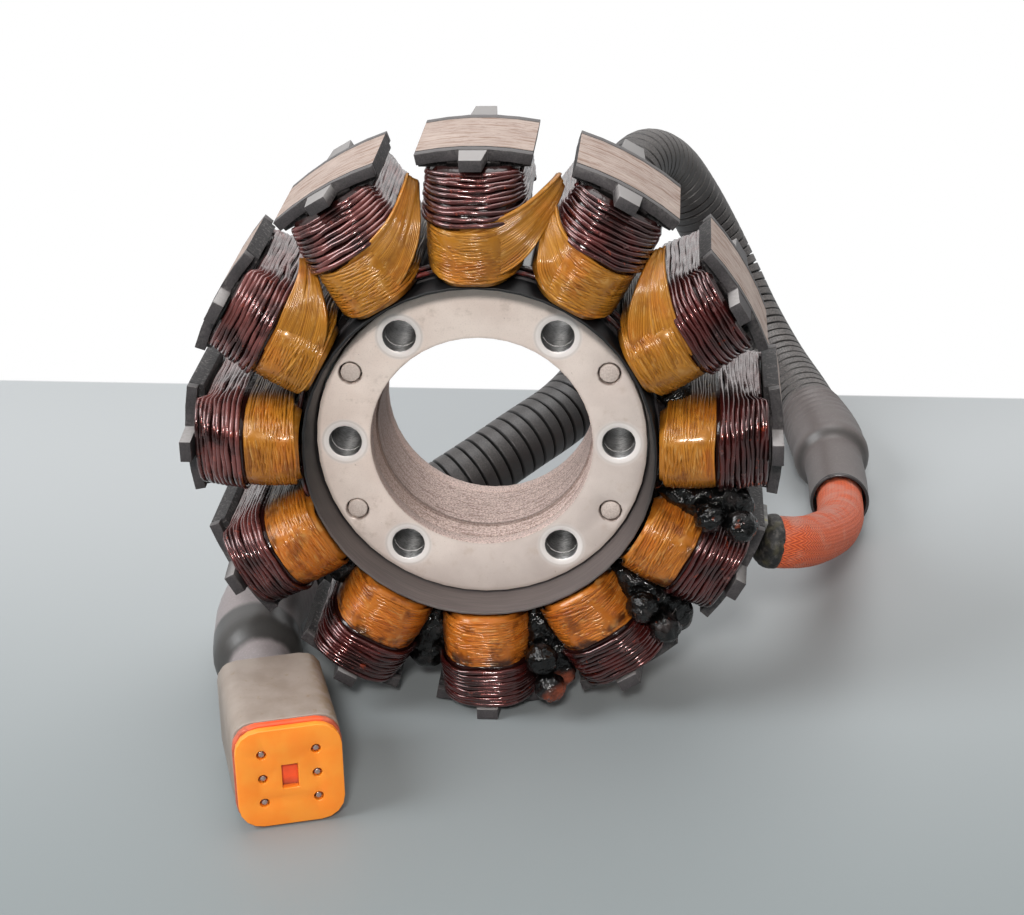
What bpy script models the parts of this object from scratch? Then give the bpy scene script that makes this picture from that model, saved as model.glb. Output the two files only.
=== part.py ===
"""Wound twelve-pole stator with its lead and connector.

Metres, +Z up. The stator's axis runs along Y and its front faces -Y. It stands on pole 7, so the
axis lies one pole-face radius above z = 0. Pole 1 is at the top, and the count runs clockwise as
seen from the front.
"""
from math import atan, atan2, ceil, cos, pi, radians, sin, sqrt, tan

import bmesh
import bpy
from mathutils import Matrix, Vector

MM = 0.001

# Clearances
SEAT_GAP = 0.3 * MM            # between pieces that touch
WINDING_GAP = 0.3 * MM         # between a winding and what it is wound on
OVERLAP = 0.5 * MM             # how far shapes that become one piece reach into each other
CUT_OVERRUN = 2.0 * MM         # how far a cutter runs past the face it cuts
FACE_STEP = 0.1 * MM           # keeps the faces of joined shapes out of one plane

# Laminated core
POLE_COUNT = 12
STACK_THICKNESS = 20.0 * MM
POLE_FACE_RADIUS = 58.6 * MM
POLE_FACE_HALF_ANGLE = radians(10.95)
POLE_FACE_STEPS = 5            # an odd count, so the pole it stands on has a flat middle
POLE_TIP_THICKNESS = 3.0 * MM
TOOTH_WIDTH = 8.4 * MM
YOKE_RADIUS = 36.3 * MM

# Hub
HUB_THICKNESS = 26.9 * MM
HUB_RADIUS = 32.3 * MM
BORE_RADIUS = 21.3 * MM
BORE_MOUTH_RADIUS = 21.7 * MM
BORE_MOUTH_DEPTH = 8.0 * MM
BOLT_CIRCLE_RADIUS = 26.75 * MM
BOLT_HOLE_DIAMETER = 6.4 * MM
BOLT_SEAT_DIAMETER = 8.6 * MM
BOLT_SEAT_DEPTH = 0.2 * MM
BOLT_HOLE_ANGLES = (0, 55.3, 124.7, 180, 235.3, 304.7)
RIVET_CIRCLE_RADIUS = 28.9 * MM
RIVET_DIAMETER = 4.0 * MM
RIVET_RECESS = 0.25 * MM
RIVET_ANGLES = (30, 150, 210, 330)

# Moulded insulators
INSULATOR_WALL = 1.2 * MM
INSULATOR_SIDE = 0.8 * MM      # how far a tooth cover stands past the tooth on each side
TIP_WALL = 1.85 * MM
TIP_WALL_HEIGHT = 2.1 * MM     # along the radius
COLLAR_HEIGHT = 6.6 * MM       # past the hub's face
COLLAR_FLARE = 1.25 * MM
COLLAR_RIM = 0.5 * MM
COLLAR_ROOT_WALL = 2.0 * MM
TAB_LENGTH = 7.0 * MM
TAB_ROOT_WIDTH = 5.3 * MM
TAB_END_WIDTH = 4.2 * MM
TAB_THICKNESS = 2.4 * MM

# Windings, measured on one tooth: height above the axis, width across, length along the axis
BAND_FOOT_WIDTH = 16.4 * MM
BAND_HEAD_WIDTH = 18.6 * MM
BAND_SHARE = 0.495             # how much of the wound height, from the yoke, the amber band takes
BAND_BULGE = 0.6 * MM
COIL_FOOT_WIDTH = 20.3 * MM
COIL_HEAD_WIDTH = 18.8 * MM
COIL_TURNS = 7
WIRE_CREST = 0.5 * MM          # how far a turn's crest stands past the valley beside it
END_TURN_REACH = 22.0 * MM     # from the mid-plane to the front of the band and of the coil's foot
COIL_HEAD_REACH = 15.2 * MM    # the outer turns lie closer to the core
COIL_SLOPE = 1.4               # power by which the coil's front falls back from foot to head
BAND_DROP = 1.2 * MM           # how far the band hangs past its foot in front of the yoke
COIL_RISE = 1.4 * MM           # how far the coil stands past its head in front of the pole tip
CORNER_ACROSS = 0.72           # share of half a winding's width that its round corner takes
CORNER_START = 10.5 * MM       # from the mid-plane to where the corners start
WINDING_HOLE_CORNER = 0.5 * MM
CORNER_STEPS = 5

# Lead joints in epoxy: balls that sit against a coil, with a tail that goes into the slot
SPLICE_TAIL_RADIUS = 1.1 * MM
SPLICE_LENGTH = 9.0 * MM
SPLICE_SEAT = 0.2 * MM         # gap to the coil that carries an inner joint
SEAT_STEPS = 4                 # how finely a winding is read where a joint rests on it
# Slot after pole, inner joint's place past the band's end, lean to the next pole in degrees, both radii (mm)
SPLICE_PAIRS = ((4, 0.9, 1.4, 2.9, 3.2), (5, 0.0, 1.2, 3.1, 3.1), (6, 0.6, 0.9, 3.2, 3.1))

# Lead
SLEEVE_DIAMETER = 10.7 * MM
CONDUIT_DIAMETER = 15.3 * MM
SLEEVE_BOOT_DIAMETER = 18.2 * MM
SLEEVE_BOOT_NECK_DIAMETER = 13.6 * MM
SLEEVE_BOOT_NECK_LENGTH = 25.5 * MM
SLEEVE_BOOT_LENGTH = 49.5 * MM
SLEEVE_BOOT_MOUTH_DEPTH = 8.0 * MM
SLEEVE_LENGTH = 86.0 * MM      # from its start at the clamp to its end inside the boot
CONNECTOR_BOOT_DIAMETER = 18.6 * MM
CONNECTOR_BOOT_NECK_DIAMETER = 12.6 * MM
CONNECTOR_BOOT_NECK_LENGTH = 19.0 * MM
CONNECTOR_BOOT_LENGTH = 56.0 * MM
BOOT_SHOULDER = 4.0 * MM
BOOT_EDGE = 0.9 * MM           # a boot's lip beyond what it is shrunk onto
CURVE_STEP_DIAMETERS = 0.6
END_RUN = 1.0 * MM             # straight run at each end of a tube, which squares its face

# The lead's centre line, from the clamp to the back of the connector (mm)
LEAD_ROUTE = (
    (56.6, -1.0, 32.0), (60.3, 0.6, 31.0), (64.3, 7.0, 28.2), (68.5, 20.0, 23.3), (72.1, 37.0, 17.0),
    (74.6, 55.0, 11.6), (75.4, 71.0, 8.9), (75.3, 87.0, 8.9), (73.7, 104.0, 9.9), (68.9, 122.0, 12.9),
    (62.7, 137.0, 17.6), (56.4, 148.0, 25.8), (51.3, 154.0, 35.0), (46.0, 156.0, 45.6), (40.4, 154.0, 56.6),
    (34.9, 148.0, 66.2), (29.6, 138.5, 71.4), (25.4, 127.0, 70.4), (22.8, 114.0, 63.2), (21.8, 102.0, 53.0),
    (20.6, 91.0, 43.0), (17.9, 81.0, 35.2), (11.6, 71.0, 30.8), (1.9, 60.5, 27.4), (-9.5, 51.5, 22.4),
    (-23.5, 43.0, 16.2), (-36.4, 35.2, 12.0), (-45.0, 27.0, 10.2), (-49.4, 17.5, 9.5), (-50.4, 7.5, 9.4),
    (-49.3, -2.0, 9.4), (-47.6, -11.0, 9.6), (-44.9, -20.5, 10.0), (-41.4, -32.0, 10.4),
)

# Connector
HOUSING_WIDTH = 20.5 * MM
HOUSING_HEIGHT = 20.8 * MM
HOUSING_LENGTH = 25.0 * MM
HOUSING_CORNER = 4.0 * MM
SEAL_THICKNESS = 1.5 * MM
WEDGE_THICKNESS = 1.6 * MM
WEDGE_INSET = 0.25 * MM
WEDGE_CORNER = 4.6 * MM
CONTACT_COLUMN_PITCH = 10.2 * MM
CONTACT_ROW_PITCH = 5.1 * MM
CONTACT_HOLE_DIAMETER = 1.9 * MM
CONTACT_DIAMETER = 1.2 * MM
CONTACT_RECESS = 0.35 * MM
WINDOW_WIDTH = 3.1 * MM
WINDOW_HEIGHT = 5.0 * MM
CONNECTOR_HEADING = radians(16.6)     # from -Y towards +X
TABLE_GAP = 0.15 * MM

# Clamp at pole 5
CLAMP_THICKNESS = 1.2 * MM
CLAMP_WIDTH = 9.0 * MM
CLAMP_ANGLES = (-31.0, -20.5)

# Facets round a turned shape
ROUND_STEPS = 48
HOLE_STEPS = 16
RIVET_STEPS = 12

# Colours (linear RGB), roughness, metallic
FINISHES = {
    "lamination_steel": ((0.42, 0.36, 0.30), 0.55, 0.35),
    "hub_steel": ((0.55, 0.52, 0.48), 0.42, 0.6),
    "rivet_steel": ((0.50, 0.47, 0.42), 0.45, 0.6),
    "black_moulding": ((0.035, 0.035, 0.038), 0.55, 0.0),
    "red_enamel_wire": ((0.09, 0.022, 0.018), 0.25, 0.0),
    "amber_strands": ((0.52, 0.22, 0.03), 0.3, 0.0),
    "black_epoxy": ((0.012, 0.011, 0.012), 0.12, 0.0),
    "clamp_grey": ((0.16, 0.16, 0.15), 0.5, 0.0),
    "orange_sleeve": ((0.60, 0.13, 0.06), 0.7, 0.0),
    "shrink_boot": ((0.12, 0.115, 0.11), 0.55, 0.0),
    "conduit_black": ((0.05, 0.05, 0.05), 0.5, 0.0),
    "housing_grey": ((0.34, 0.31, 0.27), 0.5, 0.0),
    "seal_red": ((0.65, 0.11, 0.04), 0.45, 0.0),
    "wedge_orange": ((0.90, 0.26, 0.02), 0.4, 0.0),
    "contact_metal": ((0.55, 0.50, 0.45), 0.3, 0.9),
}

HALF_STACK = STACK_THICKNESS / 2
HALF_HUB = HUB_THICKNESS / 2
POLE_PITCH = 2 * pi / POLE_COUNT
SHOE_FLOOR = (POLE_FACE_RADIUS - POLE_TIP_THICKNESS) * cos(POLE_FACE_HALF_ANGLE)
BAND_TO_COIL = YOKE_RADIUS + (SHOE_FLOOR - YOKE_RADIUS) * BAND_SHARE
AXIS_PLACE = Matrix.Translation((0, 0, POLE_FACE_RADIUS))
FRONT, REAR = -1, 1


def clear_scene():
    for obj in list(bpy.data.objects):
        bpy.data.objects.remove(obj)


def material(name):
    found = bpy.data.materials.get(name)
    if found:
        return found
    colour, roughness, metallic = FINISHES[name]
    made = bpy.data.materials.new(name)
    made.use_nodes = True
    shader = made.node_tree.nodes["Principled BSDF"]
    shader.inputs["Base Color"].default_value = (*colour, 1)
    shader.inputs["Roughness"].default_value = roughness
    shader.inputs["Metallic"].default_value = metallic
    return made


def mesh_from(name, vertices, faces):
    mesh = bpy.data.meshes.new(name)
    mesh.from_pydata(vertices, [], faces)
    bm = bmesh.new()
    bm.from_mesh(mesh)
    bmesh.ops.recalc_face_normals(bm, faces=bm.faces)
    bm.to_mesh(mesh)
    bm.free()
    return mesh


def add_object(name, data, finish, place=AXIS_PLACE):
    obj = bpy.data.objects.new(name, data)
    bpy.context.collection.objects.link(obj)
    obj.matrix_world = place
    if finish:
        data.materials.append(material(finish))
    return obj


def smooth(mesh, angle=35):
    mesh.shade_smooth()
    mesh.set_sharp_from_angle(angle=radians(angle))


def as_cutter(obj):
    obj.hide_render = True
    obj.display_type = "WIRE"


def boolean(target, tool, operation):
    modifier = target.modifiers.new(operation.title(), "BOOLEAN")
    modifier.operation = operation
    modifier.solver = "EXACT"
    modifier.object = tool
    as_cutter(tool)


def polar(radius, angle, y=0.0):
    """A point at an angle from +X in the stator's plane, seen from the front."""
    return (radius * cos(angle), y, radius * sin(angle))


def circle(radius, count):
    return [(radius * cos(2 * pi * i / count), radius * sin(2 * pi * i / count)) for i in range(count)]


def extrude_outlines(name, outlines, y_start, y_end):
    """Solid plate between two planes across Y, from an outer outline and any inner ones (x, z)."""
    bm = bmesh.new()
    edges = []
    for outline in outlines:
        ring = [bm.verts.new((x, y_start, z)) for x, z in outline]
        edges += [bm.edges.new(pair) for pair in zip(ring, ring[1:] + ring[:1])]
    bmesh.ops.triangle_fill(bm, edges=edges, use_beauty=True)
    moved = bmesh.ops.extrude_face_region(bm, geom=bm.faces[:])
    verts = [item for item in moved["geom"] if isinstance(item, bmesh.types.BMVert)]
    bmesh.ops.translate(bm, verts=verts, vec=(0, y_end - y_start, 0))
    bmesh.ops.recalc_face_normals(bm, faces=bm.faces)
    mesh = bpy.data.meshes.new(name)
    bm.to_mesh(mesh)
    bm.free()
    return mesh


def ring_solid(profile, segments, centre=(0.0, 0.0)):
    """Vertices and faces of a turned solid about Y; profile is (radius, y), radius 0 only at its ends."""
    on_axis = profile[0][0] == 0
    rings = profile[1:-1] if on_axis else profile
    vertices = []
    for radius, y in rings:
        for i in range(segments):
            turn = 2 * pi * i / segments
            vertices.append((centre[0] + radius * cos(turn), y, centre[1] + radius * sin(turn)))
    faces = []
    count = len(rings)
    for j in range(count - 1 if on_axis else count):
        low, high = j * segments, (j + 1) % count * segments
        for i in range(segments):
            k = (i + 1) % segments
            faces.append((low + i, low + k, high + k, high + i))
    if on_axis:
        for ring, y in ((0, profile[0][1]), (count - 1, profile[-1][1])):
            tip = len(vertices)
            vertices.append((centre[0], y, centre[1]))
            for i in range(segments):
                faces.append((tip, ring * segments + i, ring * segments + (i + 1) % segments))
    return vertices, faces


def joined(parts):
    vertices, faces = [], []
    for part_vertices, part_faces in parts:
        shift = len(vertices)
        vertices += part_vertices
        faces += [tuple(shift + i for i in face) for face in part_faces]
    return vertices, faces


def loop_solid(sections, closed):
    """Solid whose cross-sections all have as many points; closed joins the last section to the first."""
    count = len(sections[0])
    vertices = [point for section in sections for point in section]
    faces = []
    total = len(sections)
    for s in range(total if closed else total - 1):
        here, there = s * count, (s + 1) % total * count
        for i in range(count):
            k = (i + 1) % count
            faces.append((here + i, here + k, there + k, there + i))
    if not closed:
        faces.append(tuple(range(count)))
        faces.append(tuple((total - 1) * count + i for i in range(count)))
    return vertices, faces


# Core and hub

def hub_cutter():
    """The bore with its step, the bolt holes with their seats and the rivet holes, as one cutter."""
    far = HALF_HUB + CUT_OVERRUN
    step = -HALF_HUB + BORE_MOUTH_DEPTH
    parts = [ring_solid([(0, -far), (BORE_MOUTH_RADIUS, -far), (BORE_MOUTH_RADIUS, step),
                         (BORE_RADIUS, step), (BORE_RADIUS, far), (0, far)], ROUND_STEPS)]
    hole, seat = BOLT_HOLE_DIAMETER / 2, BOLT_SEAT_DIAMETER / 2
    slope = (seat - hole) / BOLT_SEAT_DEPTH
    inner = HALF_HUB - BOLT_SEAT_DEPTH
    wide = seat + slope * CUT_OVERRUN
    for angle in BOLT_HOLE_ANGLES:
        x, _, z = polar(BOLT_CIRCLE_RADIUS, radians(angle))
        parts.append(ring_solid([(0, -far), (wide, -far), (hole, -inner), (hole, inner), (wide, far), (0, far)],
                                HOLE_STEPS, (x, z)))
    shank = RIVET_DIAMETER / 2 + SEAT_GAP
    for angle in RIVET_ANGLES:
        x, _, z = polar(RIVET_CIRCLE_RADIUS, radians(angle))
        parts.append(ring_solid([(0, -far), (shank, -far), (shank, far), (0, far)], RIVET_STEPS, (x, z)))
    return add_object("hub_cutter", mesh_from("hub_cutter", *joined(parts)), None)


def pole_outline(half_width, shoulder, tip_floor, tip_angle, face_radius, steps):
    """One pole's outline as (x, z) from its left foot to its right one, for the pole that points up."""
    foot = sqrt(shoulder ** 2 - half_width ** 2)
    edge = tip_floor * tan(tip_angle)
    face = [(face_radius * sin(a), face_radius * cos(a))
            for a in (-tip_angle + 2 * tip_angle * i / steps for i in range(steps + 1))]
    left = [(-half_width, foot), (-half_width, tip_floor), (-edge, tip_floor)]
    right = [(edge, tip_floor), (half_width, tip_floor), (half_width, foot)]
    return left + face + right


def around_poles(outline, root_radius, root_steps):
    """A pole's outline repeated round the axis, with the root circle between neighbours."""
    points = []
    foot_angle = atan2(outline[-1][0], outline[-1][1])
    for pole in range(POLE_COUNT):
        turn = pole * POLE_PITCH
        for x, z in outline:
            points.append((x * cos(turn) + z * sin(turn), z * cos(turn) - x * sin(turn)))
        gap = POLE_PITCH - 2 * foot_angle
        for i in range(1, root_steps):
            a = turn + foot_angle + gap * i / root_steps
            points.append((root_radius * sin(a), root_radius * cos(a)))
    return points


def core_stack(cutter):
    outline = around_poles(pole_outline(TOOTH_WIDTH / 2, YOKE_RADIUS, SHOE_FLOOR, POLE_FACE_HALF_ANGLE,
                                        POLE_FACE_RADIUS, POLE_FACE_STEPS), YOKE_RADIUS, 3)
    core_inner = BORE_RADIUS - CUT_OVERRUN
    mesh = extrude_outlines("core_stack", [outline, circle(core_inner, ROUND_STEPS)], -HALF_STACK, HALF_STACK)
    core = add_object("core_stack", mesh, "lamination_steel")
    boolean(core, cutter, "DIFFERENCE")


def end_ring(name, side, cutter):
    inner = side * (HALF_STACK + SEAT_GAP)
    outer = side * HALF_HUB
    bore = BORE_RADIUS - CUT_OVERRUN
    profile = [(bore, inner), (HUB_RADIUS, inner), (HUB_RADIUS, outer), (bore, outer)]
    ring = add_object(name, mesh_from(name, *ring_solid(profile, ROUND_STEPS)), "hub_steel")
    boolean(ring, cutter, "DIFFERENCE")


def rivets():
    end = HALF_HUB - RIVET_RECESS
    radius = RIVET_DIAMETER / 2
    for number, angle in enumerate(RIVET_ANGLES, 1):
        name = f"rivet_{number}"
        mesh = mesh_from(name, *ring_solid([(0, -end), (radius, -end), (radius, end), (0, end)], RIVET_STEPS))
        x, _, z = polar(RIVET_CIRCLE_RADIUS, radians(angle))
        add_object(name, mesh, "rivet_steel", AXIS_PLACE @ Matrix.Translation((x, 0, z)))
        smooth(mesh)


# Insulators

def tip_wall(side, pole):
    """End wall of one pole tip with its tab: a curved slab, thick along the radius."""
    inner = side * (HALF_STACK + SEAT_GAP)
    outer = inner + side * TIP_WALL
    end = outer + side * TAB_LENGTH
    low_wall = POLE_FACE_RADIUS - TIP_WALL_HEIGHT
    low_tab = POLE_FACE_RADIUS - TAB_THICKNESS
    root = TAB_ROOT_WIDTH / 2 / POLE_FACE_RADIUS
    tip = TAB_END_WIDTH / 2 / POLE_FACE_RADIUS
    edge = POLE_FACE_HALF_ANGLE
    middle = (edge + root) / 2
    angles = [-edge, -middle, -root, 0, root, middle, edge]
    turn = pole * POLE_PITCH
    vertices = []
    for y in (inner, outer):
        for radius in (low_wall, POLE_FACE_RADIUS):
            vertices += [(radius * sin(a + turn), y, radius * cos(a + turn)) for a in angles]
    count = len(angles)
    faces = []
    for i in range(count - 1):
        low_in, top_in, low_out, top_out = (row * count + i for row in range(4))
        faces.append((low_in, low_in + 1, top_in + 1, top_in))
        faces.append((low_out, low_out + 1, top_out + 1, top_out))
        faces.append((top_in, top_in + 1, top_out + 1, top_out))
        faces.append((low_in, low_in + 1, low_out + 1, low_out))
    for i in (0, count - 1):
        faces.append((i, count + i, 3 * count + i, 2 * count + i))
    tab_top = POLE_FACE_RADIUS * cos(root) - FACE_STEP
    start = inner + side * OVERLAP
    tab = []
    for y, half in ((start, root), (outer, root), (end, tip)):
        half_width = half * POLE_FACE_RADIUS
        tab.append([(x * cos(turn) + z * sin(turn), y, z * cos(turn) - x * sin(turn))
                    for x, z in ((-half_width, low_tab), (half_width, low_tab),
                                 (half_width, tab_top), (-half_width, tab_top))])
    return (vertices, faces), loop_solid(tab, False)


def insulator(name, side):
    """Collar, floor and tooth covers, with the tip walls and tabs joined on."""
    face = side * (HALF_STACK + SEAT_GAP)
    back = face + side * INSULATOR_WALL
    cover_half = TOOTH_WIDTH / 2 + INSULATOR_SIDE
    cover_head = POLE_FACE_RADIUS - TIP_WALL_HEIGHT + OVERLAP
    cover_angle = atan(cover_half / cover_head)
    foot = sqrt(YOKE_RADIUS ** 2 - cover_half ** 2)
    outline = around_poles([(-cover_half, foot), (-cover_half, cover_head * cos(cover_angle)),
                            (cover_half, cover_head * cos(cover_angle)), (cover_half, foot)], YOKE_RADIUS, 3)
    inner = HUB_RADIUS + SEAT_GAP
    floor = extrude_outlines(name, [outline, circle(inner, ROUND_STEPS)], face, back)
    body = add_object(name, floor, "black_moulding")
    hub_face = side * HALF_HUB
    rim = hub_face + side * COLLAR_HEIGHT
    flared = inner + COLLAR_FLARE
    profile = [(inner + FACE_STEP, face + side * OVERLAP), (inner + FACE_STEP, hub_face), (flared, rim),
               (flared + COLLAR_RIM, rim), (inner + COLLAR_ROOT_WALL, hub_face),
               (inner + COLLAR_ROOT_WALL, face + side * OVERLAP)]
    collar = add_object(f"{name}_collar", mesh_from(f"{name}_collar", *ring_solid(profile, ROUND_STEPS)), None)
    boolean(body, collar, "UNION")
    walls, tabs = zip(*(tip_wall(side, pole) for pole in range(POLE_COUNT)))
    for label, parts in (("walls", walls), ("tabs", tabs)):
        tool = add_object(f"{name}_{label}", mesh_from(f"{name}_{label}", *joined(parts)), None)
        boolean(body, tool, "UNION")


# Windings

def rounded_loop(half_width, half_length, corner_across, corner_along):
    """Points round a rectangle with elliptical corners, as (across, along the axis)."""
    points = []
    for quarter, (sx, sy) in enumerate(((1, 1), (-1, 1), (-1, -1), (1, -1))):
        for i in range(CORNER_STEPS):
            a = pi / 2 * (quarter + i / (CORNER_STEPS - 1))
            points.append((sx * (half_width - corner_across) + corner_across * cos(a),
                           sy * (half_length - corner_along) + corner_along * sin(a)))
    return points


def end_turn_loop(half_width, reach):
    """A winding's outline at one height: straight beside the core, and round where it turns about the ends."""
    return rounded_loop(half_width, reach, half_width * CORNER_ACROSS, reach - CORNER_START)


def winding_mesh(name, outer_rings, hole_half_width, hole_half_length, hole_corner, drop=0.0, rise=0.0):
    """Closed loop of winding round a tooth that points up.

    outer_rings lists (height, half width, reach) from foot to head. Where the loop lies clear of the
    core's ends, drop lowers its foot and rise lifts its head."""
    hole = rounded_loop(hole_half_width, hole_half_length, hole_corner, hole_corner)
    loops = [end_turn_loop(*ring[1:]) for ring in outer_rings]
    foot, head = outer_rings[0][0], outer_rings[-1][0]
    clear_of_core = hole_half_length - WINDING_GAP * 2 / 3
    sections = []
    for i, (hx, hy) in enumerate(hole):
        section = [(hx, hy, foot)]
        section += [(loop[i][0], loop[i][1], ring[0]) for loop, ring in zip(loops, outer_rings)]
        section.append((hx, hy, head))
        if abs(hy) > clear_of_core:
            shares = [(z - foot) / (head - foot) for _, _, z in section]
            section = [(x, y, z - drop * (1 - share) ** 2 + rise * share ** 2)
                       for (x, y, z), share in zip(section, shares)]
        sections.append(section)
    mesh = mesh_from(name, *loop_solid(sections, True))
    smooth(mesh, 50)
    return mesh


def coil_rings():
    foot = BAND_TO_COIL + WINDING_GAP / 2
    head = SHOE_FLOOR - WINDING_GAP
    marks = [(0.0, WIRE_CREST)]
    for i in range(COIL_TURNS):
        marks += [((i + 0.5) / COIL_TURNS, 0.0), ((i + 1) / COIL_TURNS, WIRE_CREST)]
    rings = []
    for share, dip in marks:
        width = COIL_FOOT_WIDTH + (COIL_HEAD_WIDTH - COIL_FOOT_WIDTH) * share
        reach = END_TURN_REACH - (END_TURN_REACH - COIL_HEAD_REACH) * share ** COIL_SLOPE
        rings.append((foot + (head - foot) * share, width / 2 - dip, reach - dip))
    return rings


def band_rings():
    foot = YOKE_RADIUS + 2 * WINDING_GAP
    head = BAND_TO_COIL - WINDING_GAP / 2
    rings = []
    for share, tuck in ((0.0, 1.0), (0.1, 0.35), (0.35, 0.0), (0.7, 0.0), (0.92, 0.4), (1.0, 1.0)):
        width = BAND_FOOT_WIDTH + (BAND_HEAD_WIDTH - BAND_FOOT_WIDTH) * share
        inset = tuck * BAND_BULGE
        rings.append((foot + (head - foot) * share, width / 2 - inset, END_TURN_REACH - inset))
    return rings


def windings():
    hole = (TOOTH_WIDTH / 2 + INSULATOR_SIDE + WINDING_GAP,
            HALF_STACK + SEAT_GAP + INSULATOR_WALL + WINDING_GAP, WINDING_HOLE_CORNER)
    coil = winding_mesh("main_coil", coil_rings(), *hole, rise=COIL_RISE)
    band = winding_mesh("strand_band", band_rings(), *hole, drop=BAND_DROP)
    coil.materials.append(material("red_enamel_wire"))
    band.materials.append(material("amber_strands"))
    for pole in range(POLE_COUNT):
        place = AXIS_PLACE @ Matrix.Rotation(pole * POLE_PITCH, 4, "Y")
        add_object(f"main_coil_{pole + 1:02d}", coil, None, place)
        add_object(f"strand_band_{pole + 1:02d}", band, None, place)


def between(a, b, steps):
    """Values spread evenly from one tuple of numbers to the next."""
    return [tuple(p + (q - p) * i / steps for p, q in zip(a, b)) for i in range(steps + 1)]


def splice_depth(distance, lean, radius):
    """How far in front of the mid-plane a ball's centre lies when it rests on the windings beside its slot."""
    clear = radius + SPLICE_SEAT
    rings = band_rings() + coil_rings()
    depth = 0.0
    for angle in (POLE_PITCH / 2 - lean, POLE_PITCH / 2 + lean):
        across, height = distance * sin(angle), distance * cos(angle)
        for low, high in zip(rings, rings[1:]):
            for ring_height, half_width, reach in between(low, high, SEAT_STEPS):
                corner = end_turn_loop(half_width, reach)[:CORNER_STEPS]
                for start, end in zip(corner, corner[1:]):
                    for x, y in between(start, end, SEAT_STEPS):
                        beside = (x - across) ** 2 + (ring_height - height) ** 2
                        if beside < clear ** 2:
                            depth = max(depth, y + sqrt(clear ** 2 - beside))
    return depth


def splices():
    """Balls of epoxy between two coils, each with a tail that goes back into the slot.

    The outer ball of a slot lies against the inner one, at the same depth."""
    number = 0
    for pole, past_band, lean, inner_radius, outer_radius in SPLICE_PAIRS:
        distance = BAND_TO_COIL + past_band * MM
        depth = splice_depth(distance, radians(lean), inner_radius * MM)
        angle = pi / 2 - (pole - 0.5) * POLE_PITCH - radians(lean)
        outer_distance = distance + (inner_radius + outer_radius) * MM + SPLICE_SEAT
        for centre, r in ((distance, inner_radius * MM), (outer_distance, outer_radius * MM)):
            number += 1
            name = f"lead_splice_{number}"
            front = -depth - r
            tail_end = front + SPLICE_LENGTH
            profile = [(0, front), (0.5 * r, front + 0.14 * r), (0.86 * r, front + 0.5 * r), (r, front + r),
                       (0.74 * r, front + 1.5 * r), (SPLICE_TAIL_RADIUS, front + 1.9 * r),
                       (SPLICE_TAIL_RADIUS, tail_end), (0, tail_end)]
            mesh = mesh_from(name, *ring_solid(profile, 12))
            x, _, z = polar(centre, angle)
            add_object(name, mesh, "black_epoxy", AXIS_PLACE @ Matrix.Translation((x, 0, z)))
            smooth(mesh, 60)


# Lead and connector

def catmull_rom(points, per_span):
    """Smooth curve through points, read at per_span places in each span."""
    ends = [points[0] * 2 - points[1], *points, points[-1] * 2 - points[-2]]
    read = []
    for p0, p1, p2, p3 in zip(ends, ends[1:], ends[2:], ends[3:]):
        for i in range(per_span):
            t = i / per_span
            read.append(0.5 * (2 * p1 + (p2 - p0) * t + (2 * p0 - 5 * p1 + 4 * p2 - p3) * t ** 2
                               + (3 * p1 - p0 - 3 * p2 + p3) * t ** 3))
    return read + [points[-1]]


class Route:
    """The lead's centre line, read by the length along it."""

    def __init__(self, points):
        self.points = catmull_rom(points, 12)
        self.marks = [0.0]
        for a, b in zip(self.points, self.points[1:]):
            self.marks.append(self.marks[-1] + (b - a).length)
        self.length = self.marks[-1]

    def at(self, distance):
        distance = min(max(distance, 0.0), self.length)
        for i, mark in enumerate(self.marks[1:]):
            if mark >= distance:
                share = (distance - self.marks[i]) / (mark - self.marks[i])
                return self.points[i].lerp(self.points[i + 1], share)
        return self.points[-1]

    def heading(self, distance):
        return (self.at(distance + MM) - self.at(distance - MM)).normalized()

    def frame(self, distance):
        ahead = self.heading(distance)
        side = ahead.cross(Vector((0, 0, 1))).normalized()
        return side, side.cross(ahead)

    def stretch(self, start, end, step, end_run):
        """Points along the route, with a short straight run at each end that squares its face."""
        count = max(2, ceil((end - start) / step))
        middle = [start + (end - start) * i / count for i in range(1, count)]
        return [self.at(mark) for mark in (start, start + end_run, *middle, end - end_run, end)]


def tube(name, route, start, end, diameter, finish):
    curve = bpy.data.curves.new(name, "CURVE")
    curve.dimensions = "3D"
    curve.bevel_depth = diameter / 2
    curve.bevel_resolution = 3
    curve.use_fill_caps = True
    points = route.stretch(start, end, diameter * CURVE_STEP_DIAMETERS, END_RUN)
    spline = curve.splines.new("POLY")
    spline.points.add(len(points) - 1)
    for slot, point in zip(spline.points, points):
        slot.co = (*point, 1)
    return add_object(name, curve, finish, Matrix.Identity(4))


def swept(name, route, profile, finish, segments=16):
    """Solid along the route; profile is (length along it, radius), radius 0 only at its ends."""
    sections = []
    for distance, radius in profile:
        centre = route.at(distance)
        side, up = route.frame(distance)
        sections.append([centre + (side * cos(a) + up * sin(a)) * radius
                         for a in (2 * pi * i / segments for i in range(segments))])
    mesh = mesh_from(name, *loop_solid(sections, False))
    smooth(mesh)
    add_object(name, mesh, finish, Matrix.Identity(4))


def spread(start, end, radius_start, radius_end, count):
    return [(start + (end - start) * i / count, radius_start + (radius_end - radius_start) * i / count)
            for i in range(count + 1)]


def boot_profile(start, neck_end, end, neck_radius, radius):
    shoulder = neck_end + BOOT_SHOULDER
    neck = spread(start, neck_end, neck_radius, neck_radius * 1.03, 4)
    bulk = spread(shoulder, end - BOOT_EDGE, radius, radius, 7)
    return neck + [(neck_end + BOOT_SHOULDER / 2, (neck_radius + radius) / 2)] + bulk + [(end, radius - BOOT_EDGE / 2)]


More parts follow.
